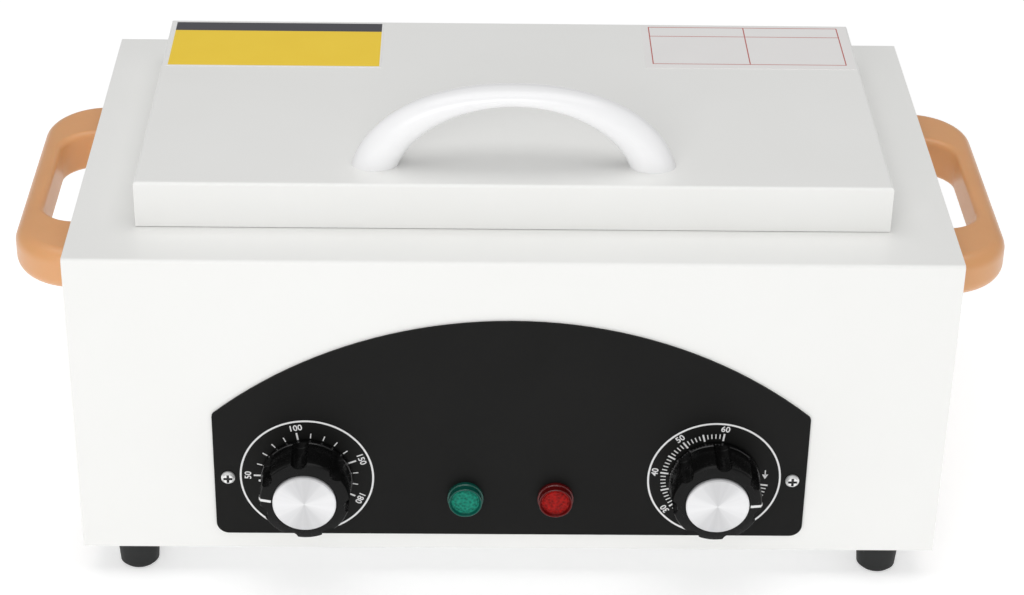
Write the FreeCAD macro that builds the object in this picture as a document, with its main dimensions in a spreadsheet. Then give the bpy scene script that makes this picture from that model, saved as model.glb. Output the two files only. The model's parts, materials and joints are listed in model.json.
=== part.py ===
import FreeCAD, Part
import Sketcher
import math
import operator
import os

os.makedirs("parts", exist_ok=True)
doc = FreeCAD.newDocument("DryHeatSterilizer")

# Dry heat sterilizer: a white sheet-steel case on four rubber feet, with a lidded steel chamber
# in its top, a heater under the chamber, and a thermostat, a timer and two lamps on its front.
# Lengths are in millimetres and angles in degrees. X runs to the right, Y to the back and Z up,
# from the middle of the surface that the feet stand on.
sizes = {
    # Clearances and the overrun of every cut
    "seat_gap": 0.3,
    "hole_gap": 0.1,
    "running_gap": 0.05,
    "overrun": 2.0,
    "edge_match": 0.01,
    # Case, base plate and feet
    "case_shoulder": 27.0,
    "heat_gap": 6.3,
    "case_wall": 1.0,
    "case_bend": 1.5,
    "base_wall": 1.0,
    "base_rim": 11.0,
    "base_screw_rise": 6.0,
    "base_screw_inset": 34.0,
    "vent_width": 4.0,
    "vent_length": 34.0,
    "vent_pitch": 14.0,
    "vent_row_offset": 25.5,
    "vent_count": 7,
    "foot_height": 15.0,
    "foot_top_radius": 9.3,
    "foot_bottom_radius": 8.3,
    "foot_edge": 1.4,
    "foot_side_inset": 22.0,
    "foot_front_inset": 12.0,
    "foot_recess_radius": 4.6,
    "foot_recess_depth": 8.0,
    # Control panel, its screws and its two lamps
    "panel_width": 250.0,
    "panel_wall": 1.0,
    "panel_bottom": 8.0,
    "panel_side_height": 60.0,
    "panel_crown": 46.0,
    "panel_low_corner": 5.4,
    "panel_high_corner": 2.5,
    "panel_screw_inset": 5.8,
    "panel_screw_rise": 36.8,
    "lamp_x": 19.1,
    "lamp_rise": 27.4,
    "lamp_bezel_radius": 7.65,
    "lamp_bezel_height": 4.9,
    "lamp_bezel_edge": 0.5,
    "lamp_lens_radius": 5.9,
    "lamp_lens_height": 3.8,
    "lamp_stem_radius": 5.4,
    "lamp_stem_length": 22.0,
    "lamp_nut_radius": 9.0,
    "lamp_nut_height": 3.0,
    "lamp_tab_length": 8.0,
    "lamp_tab_wall": 0.8,
    # Dials: knobs, caps, shafts and what they turn
    "dial_inset": 39.0,
    "dial_rise": 37.2,
    "temperature_rest": 178.0,
    "timer_rest": -3.0,
    "temperature_lobe": -84.0,
    "timer_lobe": -96.0,
    "knob_gap": 1.0,
    "knob_radius": 18.9,
    "knob_length": 19.0,
    "knob_rim": 1.2,
    "knob_slope": 0.9,
    "knob_face_radius": 14.4,
    "knob_wall": 2.2,
    "knob_hub_radius": 6.0,
    "knob_hub_back": 3.5,
    "knob_flute_radius": 3.8,
    "knob_flute_depth": 2.5,
    "knob_skirt_radius": 18.6,
    "knob_skirt_height": 2.4,
    "knob_skirt_edge": 0.9,
    "knob_flute_count": 7,
    "cap_radius": 13.2,
    "cap_seat": 0.9,
    "cap_front": 20.5,
    "cap_edge": 0.5,
    "shaft_radius": 3.0,
    "bushing_radius": 5.0,
    "bushing_reach": 3.6,
    "bushing_nut_radius": 8.0,
    "bushing_nut_height": 2.2,
    "thermostat_width": 38.0,
    "thermostat_height": 34.0,
    "thermostat_depth": 26.0,
    "timer_width": 46.0,
    "timer_depth": 32.0,
    "bell_radius": 17.0,
    "bell_depth": 9.0,
    "bell_wall": 1.0,
    "capillary_radius": 1.0,
    "bulb_radius": 3.0,
    "bulb_length": 80.0,
    # Chamber tank, heater, insulation, shield and tray
    "tank_width": 268.0,
    "tank_depth": 128.0,
    "tank_height": 58.0,
    "tank_wall": 0.8,
    "tank_flange": 9.0,
    "tank_corner": 8.0,
    "heater_radius": 3.25,
    "heater_inset": 30.0,
    "heater_pitch": 24.0,
    "lead_reach": 3.9,
    "bead_length": 4.8,
    "bead_wall": 1.2,
    "clamp_width": 10.0,
    "clamp_wall": 1.2,
    "clamp_inset": 14.0,
    "wool_wall": 11.0,
    "wool_floor": 8.0,
    "wool_room": 8.5,
    "shield_wall": 0.8,
    "shield_flange": 10.0,
    "tray_gap": 6.0,
    "tray_height": 22.0,
    "tray_wall": 0.8,
    "tray_foot_height": 6.0,
    "tray_foot_radius": 3.0,
    "tray_hole_radius": 4.0,
    "tray_hole_pitch": 22.0,
    "tray_hole_margin": 22.0,
    "tray_slot_width": 44.0,
    "tray_slot_height": 8.0,
    "tray_slot_drop": 5.5,
    # Lid, its lining, insulation, labels and handle
    "lid_side_lap": 21.5,
    "lid_end_lap": 16.0,
    "lid_height": 20.5,
    "lid_inset": 28.0,
    "lid_rear_gap": 24.0,
    "lid_wall": 1.0,
    "lid_bend": 1.2,
    "liner_wall": 0.6,
    "liner_rise": 2.5,
    "liner_flange": 6.0,
    "label_wall": 0.2,
    "left_label_gap": 2.0,
    "left_label_width": 95.5,
    "left_label_depth": 47.0,
    "right_label_gap": 1.5,
    "right_label_width": 94.0,
    "right_label_depth": 45.0,
    "label_back_gap": 1.0,
    "arch_inset": 18.5,
    "arch_half_span": 57.5,
    "arch_rise": 32.0,
    "arch_width": 14.0,
    "arch_foot_thickness": 18.6,
    "arch_top_thickness": 8.4,
    "arch_sections": 13,
    "arch_taper": 1.7,
    "arch_start": 12.0,
    "arch_sink": 12.0,
    "arch_bore_depth": 9.0,
    # Lid hinges
    "hinge_inset": 55.5,
    "hinge_width": 40.0,
    "hinge_wall": 1.2,
    "hinge_radius": 2.5,
    "hinge_pin_radius": 1.5,
    "hinge_gap": 0.4,
    "hinge_back_gap": 0.5,
    "hinge_leaf_height": 15.0,
    "hinge_leaf_depth": 17.0,
    "rivet_radius": 2.0,
    "rivet_height": 0.7,
    "rivet_shank": 1.2,
    # Side handles
    "grip_length": 143.0,
    "grip_shift": 4.8,
    "grip_reach": 29.6,
    "grip_height": 18.8,
    "grip_arm": 30.5,
    "grip_bar": 9.6,
    "grip_drop": 19.5,
    "grip_outer_corner": 27.0,
    "grip_rear_corner": 16.0,
    "grip_front_corner": 15.0,
    "grip_outer_edge": 6.2,
    "grip_inner_edge": 3.0,
    "grip_bore_depth": 14.0,
    # Screws
    "screw_radius": 1.5,
    "screw_head_radius": 2.9,
    "screw_head_height": 1.6,
    "screw_length": 7.0,
    "bolt_radius": 2.0,
    "bolt_head_radius": 3.8,
    "bolt_head_height": 2.4,
    "nut_radius": 4.0,
    "nut_height": 3.0,
    "cross_width": 0.8,
    "cross_length": 3.6,
    "cross_depth": 0.9,
    # Power inlet and terminal block
    "inlet_inset": 52.5,
    "inlet_rise": 38.0,
    "inlet_flange_width": 50.0,
    "inlet_flange_height": 24.0,
    "inlet_flange_wall": 2.5,
    "inlet_body_width": 28.0,
    "inlet_body_height": 20.0,
    "inlet_body_depth": 22.0,
    "inlet_mouth_width": 24.0,
    "inlet_mouth_height": 15.5,
    "inlet_mouth_depth": 16.0,
    "inlet_pin_width": 2.0,
    "inlet_pin_height": 4.0,
    "inlet_pin_pitch": 7.0,
    "inlet_screw_pitch": 40.0,
    "inlet_tail_length": 8.0,
    "block_offset": 2.0,
    "block_back_gap": 62.0,
    "block_width": 46.0,
    "block_depth": 18.0,
    "block_height": 13.0,
    "block_wells": 4,
    "block_well_radius": 3.0,
    "wire_radius": 1.2,
}

# Sizes that add up from the ones above: the lid laps the tank, and the case surrounds the lid
sums = {
    "lid_width": "=tank_width + 2 * lid_side_lap",
    "lid_depth": "=tank_depth + 2 * lid_end_lap",
    "case_width": "=lid_width + 2 * case_shoulder",
    "case_depth": "=lid_inset + lid_depth + lid_rear_gap",
    "case_height": "=dial_rise + timer_width / 2 + heat_gap + wool_floor + wool_room + tank_height",
    "panel_screw_x": "=panel_width / 2 - panel_screw_inset",
    "dial_x": "=panel_width / 2 - dial_inset",
    "heater_run": "=tank_width / 2 - heater_inset",
    "heater_lead": "=heater_inset + seat_gap + wool_wall + shield_wall + lead_reach",
    "clamp_x": "=heater_run - clamp_inset",
    "left_label_x": "=left_label_gap + (left_label_width - lid_width) / 2",
    "right_label_x": "=(lid_width - right_label_width) / 2 - right_label_gap",
    "hinge_x": "=lid_width / 2 - hinge_inset",
    "grip_rise": "=case_height - grip_drop - grip_height",
    "inlet_x": "=case_width / 2 - inlet_inset",
    "block_x": "=inlet_x - block_offset",
}

sheet = doc.addObject("Spreadsheet::Sheet", "Sizes")
for row, (alias, value) in enumerate(list(sizes.items()) + list(sums.items()), 1):
    sheet.set("A%d" % row, alias.replace("_", " "))
    sheet.set("B%d" % row, str(value))
    sheet.setAlias("B%d" % row, alias)
doc.recompute()


class Size:
    """A length or count, kept with the sheet formula that gives it."""

    def __init__(self, value, formula):
        self.value = float(value)
        self.formula = formula

    def joined(self, other, sign, work):
        other = sized(other)
        formula = "(%s %s %s)" % (self.formula, sign, other.formula)
        return Size(work(self.value, other.value), formula)

    def __add__(self, other):
        return self.joined(other, "+", operator.add)

    def __radd__(self, other):
        return sized(other).joined(self, "+", operator.add)

    def __sub__(self, other):
        return self.joined(other, "-", operator.sub)

    def __rsub__(self, other):
        return sized(other).joined(self, "-", operator.sub)

    def __mul__(self, other):
        return self.joined(other, "*", operator.mul)

    def __rmul__(self, other):
        return sized(other).joined(self, "*", operator.mul)

    def __truediv__(self, other):
        return self.joined(other, "/", operator.truediv)

    def __neg__(self):
        return self * -1


def sized(number):
    return number if isinstance(number, Size) else Size(number, repr(number))


class SheetReader:
    """Gives a named cell of the sheet as a Size."""

    def __getattr__(self, alias):
        return Size(getattr(sheet, alias), "Sizes." + alias)


s = SheetReader()
pieces = []
heater_rows = 4
aligned_share = 0.999
lid_rivet_share = 0.75
clip_shares = (0.25, 0.75)

# Places that several pieces share
front_reach = s.panel_wall + s.cap_front
whole_depth = front_reach + s.case_depth + s.inlet_flange_wall
case_front = front_reach - whole_depth / 2
case_back = case_front + s.case_depth
case_side = s.case_width / 2
case_floor = s.foot_height
case_top = s.foot_height + s.case_height
panel_front = case_front - s.panel_wall
dial_z = case_floor + s.dial_rise
lamp_z = case_floor + s.lamp_rise
lid_front = case_front + s.lid_inset
lid_back = lid_front + s.lid_depth
lid_top = case_top + s.lid_height
lid_bottom = case_top + s.seat_gap
tank_y = lid_front + s.lid_depth / 2
tank_bottom = case_top - s.tank_height
wool_half_width = s.tank_width / 2 + s.seat_gap + s.wool_wall
wool_half_depth = s.tank_depth / 2 + s.seat_gap + s.wool_wall
wool_bottom = tank_bottom - s.wool_room - s.wool_floor
grip_y = case_front + s.case_depth / 2 + s.grip_shift
hinge_y = lid_back + s.hinge_radius + s.hinge_back_gap
hinge_z = case_top + s.hinge_radius
inlet_z = case_floor + s.inlet_rise
turned_to = {
    "X": FreeCAD.Rotation(FreeCAD.Vector(0, 0, 1), FreeCAD.Vector(1, 0, 0)),
    "Y": FreeCAD.Rotation(FreeCAD.Vector(0, 0, 1), FreeCAD.Vector(0, 1, 0)),
    "Z": FreeCAD.Rotation(),
}


def bind(thing, **formulas):
    """Ties properties of an object to the sheet."""
    for name, size in formulas.items():
        thing.setExpression(name.replace("_of_", "."), sized(size).formula)
    return thing


def place(thing, x, y, z):
    return bind(thing, Placement_of_Base_of_x=x, Placement_of_Base_of_y=y, Placement_of_Base_of_z=z)


def block(name, low, high):
    """A box between two opposite corners."""
    solid = doc.addObject("Part::Box", name)
    bind(solid, Length=high[0] - low[0], Width=high[1] - low[1], Height=high[2] - low[2])
    return place(solid, *low)


def rod(name, radius, length, start, axis="Z"):
    """A cylinder that runs from start along an axis."""
    solid = doc.addObject("Part::Cylinder", name)
    solid.Placement = FreeCAD.Placement(FreeCAD.Vector(), turned_to[axis])
    bind(solid, Radius=radius, Height=length)
    return place(solid, *start)


def hexagon(name, radius, length, start, axis="Z"):
    """A hexagonal prism, for a nut."""
    solid = doc.addObject("Part::Prism", name)
    solid.Polygon = 6
    solid.Placement = FreeCAD.Placement(FreeCAD.Vector(), turned_to[axis])
    bind(solid, Circumradius=radius, Height=length)
    return place(solid, *start)


def fuse(name, solids):
    joined = doc.addObject("Part::MultiFuse", name)
    joined.Shapes = solids
    joined.Refine = True
    return joined


def cut(name, base, tools):
    """The base without its tools, which are gathered first where there are several."""
    if len(tools) > 1:
        gathered = doc.addObject("Part::Compound", name + "_cuts")
        gathered.Links = tools
        tools = [gathered]
    result = doc.addObject("Part::Cut", name)
    result.Base = base
    result.Tool = tools[0]
    return result


def group(name, solids):
    """Separate solids that share one node."""
    result = doc.addObject("Part::Compound", name)
    result.Links = solids
    return result


def piece(label, thing):
    """Registers a finished sub-part under the name of its file."""
    thing.Label = label
    if thing.Label != label:
        raise RuntimeError("name already used: " + label)
    pieces.append(thing)
    return thing


def body_plane(body, role):
    return [feature for feature in body.Origin.OriginFeatures if feature.Role == role][0]


def new_sketch(body, role, offset=0):
    """A sketch on one of the body's own planes, moved along that plane's normal."""
    sketch = body.newObject("Sketcher::SketchObject", body.Name + "_sketch")
    sketch.AttachmentSupport = [(body_plane(body, role), "")]
    sketch.MapMode = "FlatFace"
    bind(sketch, AttachmentOffset_of_Base_of_z=offset)
    return sketch


def hold_point(sketch, index, end, x, y):
    """Ties one point of a sketch to the sketch's axes."""
    for kind, size, axis in (("DistanceX", sized(x), -2), ("DistanceY", sized(y), -1)):
        if size.value == 0:
            sketch.addConstraint(Sketcher.Constraint("PointOnObject", index, end, axis))
        else:
            held = sketch.addConstraint(Sketcher.Constraint(kind, -1, 1, index, end, size.value))
            sketch.setExpression("Constraints[%d]" % held, size.formula)


def draw_outline(sketch, corners):
    """A closed outline of straight lines through corners given as Size pairs."""
    points = [FreeCAD.Vector(sized(x).value, sized(y).value, 0) for x, y in corners]
    count = len(points)
    for index in range(count):
        sketch.addGeometry(Part.LineSegment(points[index], points[(index + 1) % count]), False)
    for index in range(count):
        sketch.addConstraint(Sketcher.Constraint("Coincident", index, 2, (index + 1) % count, 1))
        hold_point(sketch, index, 1, *corners[index])


def draw_circle(sketch, x, y, radius):
    centre = FreeCAD.Vector(sized(x).value, sized(y).value, 0)
    index = sketch.addGeometry(Part.Circle(centre, FreeCAD.Vector(0, 0, 1), radius.value), False)
    hold_point(sketch, index, 3, x, y)
    held = sketch.addConstraint(Sketcher.Constraint("Radius", index, radius.value))
    sketch.setExpression("Constraints[%d]" % held, radius.formula)


def pad(body, sketch, length, reverse=False):
    feature = body.newObject("PartDesign::Pad", body.Name + "_pad")
    feature.Profile = sketch
    feature.Reversed = reverse
    bind(feature, Length=length)
    return feature


def pocket(body, sketch, length, reverse=False):
    feature = body.newObject("PartDesign::Pocket", body.Name + "_pocket")
    feature.Profile = sketch
    feature.Reversed = reverse
    bind(feature, Length=length)
    return feature


def turn(body, sketch, axis="V_Axis"):
    """A full revolution of a half profile about a sketch axis."""
    feature = body.newObject("PartDesign::Revolution", body.Name + "_turned")
    feature.Profile = sketch
    feature.ReferenceAxis = (sketch, [axis])
    feature.Angle = 360.0
    return feature


def round_edges(body, base, radius, chosen):
    """Fillets the edges of the body's last feature that a test picks."""
    doc.recompute()
    names = ["Edge%d" % n for n, edge in enumerate(base.Shape.Edges, 1) if chosen(edge)]
    feature = body.newObject("PartDesign::Fillet", body.Name + "_rounded")
    feature.Base = (base, names)
    bind(feature, Radius=radius)
    return feature


def runs_along(edge, direction):
    """True for a straight edge that lies along a row axis."""
    if not isinstance(edge.Curve, Part.Line):
        return False
    return abs(edge.tangentAt(edge.FirstParameter).dot(direction)) > aligned_share


def mirrored(sides, build):
    """Builds a piece once on each named side."""
    for side, sign in sides:
        build(side, sign)


# Screws. A head stands on the face that it clamps, and the shank runs on from it.
def head_direction(axis, sign):
    vector = {"X": FreeCAD.Vector(1, 0, 0), "Y": FreeCAD.Vector(0, 1, 0), "Z": FreeCAD.Vector(0, 0, 1)}
    return FreeCAD.Rotation(FreeCAD.Vector(0, 0, 1), vector[axis] * sign)


def screw(name, seat, axis, sign, shank_length, radii, head_height):
    """A pan-head screw at seat whose head points along sign times the axis."""
    shank_radius, head_radius = radii
    profile = doc.addObject("PartDesign::Body", name)
    sketch = new_sketch(profile, "XZ_Plane")
    rim = head_height / 2
    draw_outline(sketch, [
        (0, -shank_length), (shank_radius, -shank_length), (shank_radius, 0), (head_radius, 0),
        (head_radius, rim), (head_radius - rim, head_height), (0, head_height)])
    turn(profile, sketch)
    slots = new_sketch(profile, "XY_Plane", head_height)
    half_width = s.cross_width / 2
    half_length = s.cross_length / 2
    draw_outline(slots, [
        (-half_length, -half_width), (-half_width, -half_width), (-half_width, -half_length),
        (half_width, -half_length), (half_width, -half_width), (half_length, -half_width),
        (half_length, half_width), (half_width, half_width), (half_width, half_length),
        (-half_width, half_length), (-half_width, half_width), (-half_length, half_width)])
    pocket(profile, slots, s.cross_depth)
    profile.Placement = FreeCAD.Placement(FreeCAD.Vector(), head_direction(axis, sign))
    return place(profile, *seat)


small_screw = (s.screw_radius, s.screw_head_radius)
bolt = (s.bolt_radius, s.bolt_head_radius)
hole = s.screw_radius + s.hole_gap
bolt_hole = s.bolt_radius + s.hole_gap


# Places of the feet, base screws and side handle screws, which several pieces share
foot_places = [
    (end + "_" + side, across * (case_side - s.foot_side_inset), y)
    for end, y in (("front", case_front + s.foot_front_inset), ("rear", case_back - s.foot_front_inset))
    for side, across in (("left", -1), ("right", 1))]
base_screw_z = case_floor + s.base_screw_rise
base_screw_rows = (case_front + s.base_screw_inset, case_back - s.base_screw_inset)
grip_arm_rows = (grip_y - s.grip_length / 2 + s.grip_arm / 2, grip_y + s.grip_length / 2 - s.grip_arm / 2)
grip_middle = case_floor + s.grip_rise + s.grip_height / 2
lid_bolt_y = lid_front + s.arch_inset


def build_case():
    """The folded shell: open below, with the chamber mouth in its top and the fittings' holes."""
    body = doc.addObject("PartDesign::Body", "case_blank")
    outline = new_sketch(body, "XY_Plane", case_floor)
    draw_outline(outline, [
        (-case_side, case_front), (case_side, case_front), (case_side, case_back), (-case_side, case_back)])
    shell = pad(body, outline, s.case_height)

    def bent(edge):
        middle = edge.CenterOfMass
        on_top = abs(middle.z - case_top.value) < s.edge_match.value
        at_end = min(abs(middle.y - case_front.value), abs(middle.y - case_back.value)) < s.edge_match.value
        return runs_along(edge, FreeCAD.Vector(1, 0, 0)) and on_top and at_end

    round_edges(body, shell, s.case_bend, bent)
    hollow = block("case_hollow",
                   (s.case_wall - case_side, case_front + s.case_wall, case_floor - s.overrun),
                   (case_side - s.case_wall, case_back - s.case_wall, case_top - s.case_wall))
    mouth_x = s.tank_width / 2 + s.seat_gap
    mouth_y = s.tank_depth / 2 + s.seat_gap
    mouth = block("case_mouth",
                  (-mouth_x, tank_y - mouth_y, case_top - s.case_wall - s.overrun),
                  (mouth_x, tank_y + mouth_y, case_top + s.overrun))
    through = s.case_wall + 2 * s.overrun
    before = case_front - s.overrun
    cuts = [hollow, mouth]
    for sign in (-1, 1):
        cuts.append(rod("case_dial_hole", s.bushing_radius + s.hole_gap, through,
                        (sign * s.dial_x, before, dial_z), "Y"))
        cuts.append(rod("case_lamp_hole", s.lamp_stem_radius + s.hole_gap, through,
                        (sign * s.lamp_x, before, lamp_z), "Y"))
        cuts.append(rod("case_panel_hole", hole, through,
                        (sign * s.panel_screw_x, before, case_floor + s.panel_screw_rise), "Y"))
        cuts.append(rod("case_rear_hole", hole, through,
                        (sign * (case_side - s.base_screw_inset), case_back - s.case_wall - s.overrun,
                         base_screw_z), "Y"))
        outside = sign * case_side - through / 2
        for y in base_screw_rows:
            cuts.append(rod("case_side_hole", hole, through, (outside, y, base_screw_z), "X"))
        for y in grip_arm_rows:
            cuts.append(rod("case_grip_hole", bolt_hole, through, (outside, y, grip_middle), "X"))
        for offset in (-1, 1):
            x = sign * s.hinge_x + offset * s.hinge_width / 4
            cuts.append(rod("case_rivet_hole", s.rivet_shank + s.hole_gap, through,
                            (x, hinge_rivet_y, case_top - s.case_wall - s.overrun)))
    half_x = s.inlet_body_width / 2 + s.hole_gap
    half_z = s.inlet_body_height / 2 + s.hole_gap
    cuts.append(block("case_inlet_hole",
                      (s.inlet_x - half_x, case_back - s.case_wall - s.overrun, inlet_z - half_z),
                      (s.inlet_x + half_x, case_back + s.overrun, inlet_z + half_z)))
    for offset in (-1, 1):
        cuts.append(rod("case_inlet_screw_hole", hole, through,
                        (s.inlet_x + offset * s.inlet_screw_pitch / 2,
                         case_back - s.case_wall - s.overrun, inlet_z), "Y"))
    piece("outer_case", cut("outer_case", body, cuts))


hinge_rivet_y = hinge_y + s.hinge_leaf_depth - 2 * s.rivet_radius


def build_base():
    """The bottom plate: a shallow pan inside the case, with vent slots, and its screws."""
    x = case_side - s.case_wall - s.seat_gap
    low_y = case_front + s.case_wall + s.seat_gap
    high_y = case_back - s.case_wall - s.seat_gap
    pan = block("base_blank", (-x, low_y, case_floor), (x, high_y, case_floor + s.base_rim))
    inside = block("base_inside",
                   (s.base_wall - x, low_y + s.base_wall, case_floor + s.base_wall),
                   (x - s.base_wall, high_y - s.base_wall, case_floor + s.base_rim + s.overrun))
    cuts = [inside]
    through = s.base_wall + 2 * s.overrun
    below = case_floor - s.overrun
    for place_name, foot_x, foot_y in foot_places:
        cuts.append(rod("base_foot_hole", bolt_hole, through, (foot_x, foot_y, below)))
    side = s.case_wall + s.seat_gap + s.base_wall + s.overrun
    for sign in (-1, 1):
        start = sign * (case_side - side / 2) - side / 2
        for y in base_screw_rows:
            cuts.append(rod("base_side_hole", s.screw_radius + s.running_gap, side,
                            (start, y, base_screw_z), "X"))
        cuts.append(rod("base_rear_hole", s.screw_radius + s.running_gap, side,
                        (sign * (case_side - s.base_screw_inset), case_back - side, base_screw_z), "Y"))
    slot_y = case_front + s.case_depth / 2
    for row in (-1, 1):
        for column in range(int(s.vent_count.value)):
            x_slot = (column - (s.vent_count - 1) / 2) * s.vent_pitch - s.vent_width / 2
            y_slot = slot_y + row * s.vent_row_offset - s.vent_length / 2
            cuts.append(block("base_vent", (x_slot, y_slot, below),
                              (x_slot + s.vent_width, y_slot + s.vent_length, below + through)))
    piece("base_plate", cut("base_plate", pan, cuts))
    screws = []
    for sign in (-1, 1):
        for y in base_screw_rows:
            screws.append(screw("base_screw", (sign * case_side, y, base_screw_z), "X", sign,
                                s.screw_length, small_screw, s.screw_head_height))
        screws.append(screw("base_screw", (sign * (case_side - s.base_screw_inset), case_back, base_screw_z),
                            "Y", 1, s.screw_length, small_screw, s.screw_head_height))
    piece("base_screws", group("base_screws", screws))


def build_foot(place_name, x, y):
    """A tapered rubber foot with a recess for its screw."""
    body = doc.addObject("PartDesign::Body", "foot_" + place_name)
    sketch = new_sketch(body, "XZ_Plane")
    draw_outline(sketch, [
        (s.foot_recess_radius, 0), (s.foot_bottom_radius - s.foot_edge, 0),
        (s.foot_bottom_radius, s.foot_edge), (s.foot_top_radius, s.foot_height),
        (bolt_hole, s.foot_height), (bolt_hole, s.foot_recess_depth),
        (s.foot_recess_radius, s.foot_recess_depth)])
    turn(body, sketch)
    place(body, x, y, 0)
    piece("foot_" + place_name, body)


def build_feet():
    screws = []
    nuts = []
    plate_top = case_floor + s.base_wall
    length = s.foot_height - s.foot_recess_depth + s.base_wall + s.nut_height + s.seat_gap
    for place_name, x, y in foot_places:
        build_foot(place_name, x, y)
        screws.append(screw("foot_screw", (x, y, s.foot_recess_depth), "Z", -1, length, bolt,
                            s.bolt_head_height))
        nut = hexagon("foot_nut_blank", s.nut_radius, s.nut_height, (x, y, plate_top))
        bore = rod("foot_nut_bore", s.bolt_radius + s.running_gap, s.nut_height + 2 * s.overrun,
                   (x, y, plate_top - s.overrun))
        nuts.append(cut("foot_nut", nut, [bore]))
    piece("foot_screws", group("foot_screws", screws))
    piece("foot_nuts", group("foot_nuts", nuts))


def build_panel():
    """The black front plate with its arched top, and its two screws."""
    half = s.panel_width / 2
    low = case_floor + s.panel_bottom
    side_top = low + s.panel_side_height
    crown = side_top + s.panel_crown
    rise = s.panel_crown.value
    arc_radius = (half.value ** 2 + rise ** 2) / (2 * rise)
    body = doc.addObject("PartDesign::Body", "panel_blank")
    sketch = new_sketch(body, "XZ_Plane", -case_front)
    corners = [(half, side_top), (half, low), (-half, low), (-half, side_top)]
    points = [FreeCAD.Vector(x.value, z.value, 0) for x, z in corners]
    for index in range(3):
        sketch.addGeometry(Part.LineSegment(points[index], points[index + 1]), False)
        hold_point(sketch, index, 1, *corners[index])
    hold_point(sketch, 2, 2, *corners[3])
    top = FreeCAD.Vector(0, crown.value, 0)
    sketch.addGeometry(Part.Arc(points[0], top, points[3]), False)
    sketch.addConstraint(Sketcher.Constraint("Coincident", 0, 2, 1, 1))
    sketch.addConstraint(Sketcher.Constraint("Coincident", 1, 2, 2, 1))
    sketch.addConstraint(Sketcher.Constraint("Coincident", 3, 1, 0, 1))
    sketch.addConstraint(Sketcher.Constraint("Coincident", 3, 2, 2, 2))
    held = sketch.addConstraint(Sketcher.Constraint("Radius", 3, arc_radius))
    bow = (half * half + s.panel_crown * s.panel_crown) / (2 * s.panel_crown)
    sketch.setExpression("Constraints[%d]" % held, bow.formula)
    plate = pad(body, sketch, s.panel_wall)
    depth = FreeCAD.Vector(0, 1, 0)
    lower = round_edges(body, plate, s.panel_low_corner, lambda edge: runs_along(edge, depth)
                        and edge.CenterOfMass.z < low.value + s.panel_low_corner.value)
    round_edges(body, lower, s.panel_high_corner, lambda edge: runs_along(edge, depth)
                and abs(edge.CenterOfMass.z - side_top.value) < s.edge_match.value)
    cuts = []
    through = s.panel_wall + 2 * s.overrun
    before = panel_front - s.overrun
    for sign in (-1, 1):
        cuts.append(rod("panel_dial_hole", s.bushing_nut_radius + s.seat_gap, through,
                        (sign * s.dial_x, before, dial_z), "Y"))
        cuts.append(rod("panel_lamp_hole", s.lamp_stem_radius + s.hole_gap, through,
                        (sign * s.lamp_x, before, lamp_z), "Y"))
        cuts.append(rod("panel_screw_hole", hole, through,
                        (sign * s.panel_screw_x, before, case_floor + s.panel_screw_rise), "Y"))
    piece("control_panel", cut("control_panel", body, cuts))
    screws = []
    for sign in (-1, 1):
        seat = (sign * s.panel_screw_x, panel_front, case_floor + s.panel_screw_rise)
        screws.append(screw("panel_screw", seat, "Y", -1, s.screw_length, small_screw, s.screw_head_height))
    piece("panel_screws", group("panel_screws", screws))


def build_lamp(colour, sign):
    """A round lamp: coloured lens sunk in its bezel, dark stem with two tabs, and a nut."""
    x = sign * s.lamp_x
    lens = doc.addObject("PartDesign::Body", colour + "_lens")
    sketch = new_sketch(lens, "XZ_Plane")
    edge = s.lamp_bezel_edge
    draw_outline(sketch, [
        (0, 0), (s.lamp_bezel_radius, 0), (s.lamp_bezel_radius, s.lamp_bezel_height - edge),
        (s.lamp_bezel_radius - edge, s.lamp_bezel_height), (s.lamp_lens_radius, s.lamp_bezel_height),
        (s.lamp_lens_radius, s.lamp_lens_height), (0, s.lamp_lens_height)])
    turn(lens, sketch)
    lens.Placement = FreeCAD.Placement(FreeCAD.Vector(), head_direction("Y", -1))
    place(lens, x, panel_front, lamp_z)
    piece(colour + "_lamp_lens", lens)
    stem = rod(colour + "_stem", s.lamp_stem_radius, s.lamp_stem_length, (x, panel_front, lamp_z), "Y")
    tabs = []
    back = panel_front + s.lamp_stem_length
    for offset in (-1, 1):
        middle = x + offset * s.lamp_stem_radius / 2
        half_wall = s.lamp_tab_wall / 2
        half_height = s.lamp_stem_radius / 4
        tabs.append(block(colour + "_tab", (middle - half_wall, back - s.overrun, lamp_z - half_height),
                          (middle + half_wall, back + s.lamp_tab_length, lamp_z + half_height)))
    piece(colour + "_lamp_body", fuse(colour + "_lamp_body", [stem] + tabs))
    seat = case_front + s.case_wall
    blank = hexagon(colour + "_nut_blank", s.lamp_nut_radius, s.lamp_nut_height, (x, seat, lamp_z), "Y")
    bore = rod(colour + "_nut_bore", s.lamp_stem_radius + s.running_gap,
               s.lamp_nut_height + 2 * s.overrun, (x, seat - s.overrun, lamp_z), "Y")
    return cut(colour + "_nut", blank, [bore])


def build_lamps():
    nuts = [build_lamp("green", -1), build_lamp("red", 1)]
    piece("lamp_nuts", group("lamp_nuts", nuts))


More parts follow.
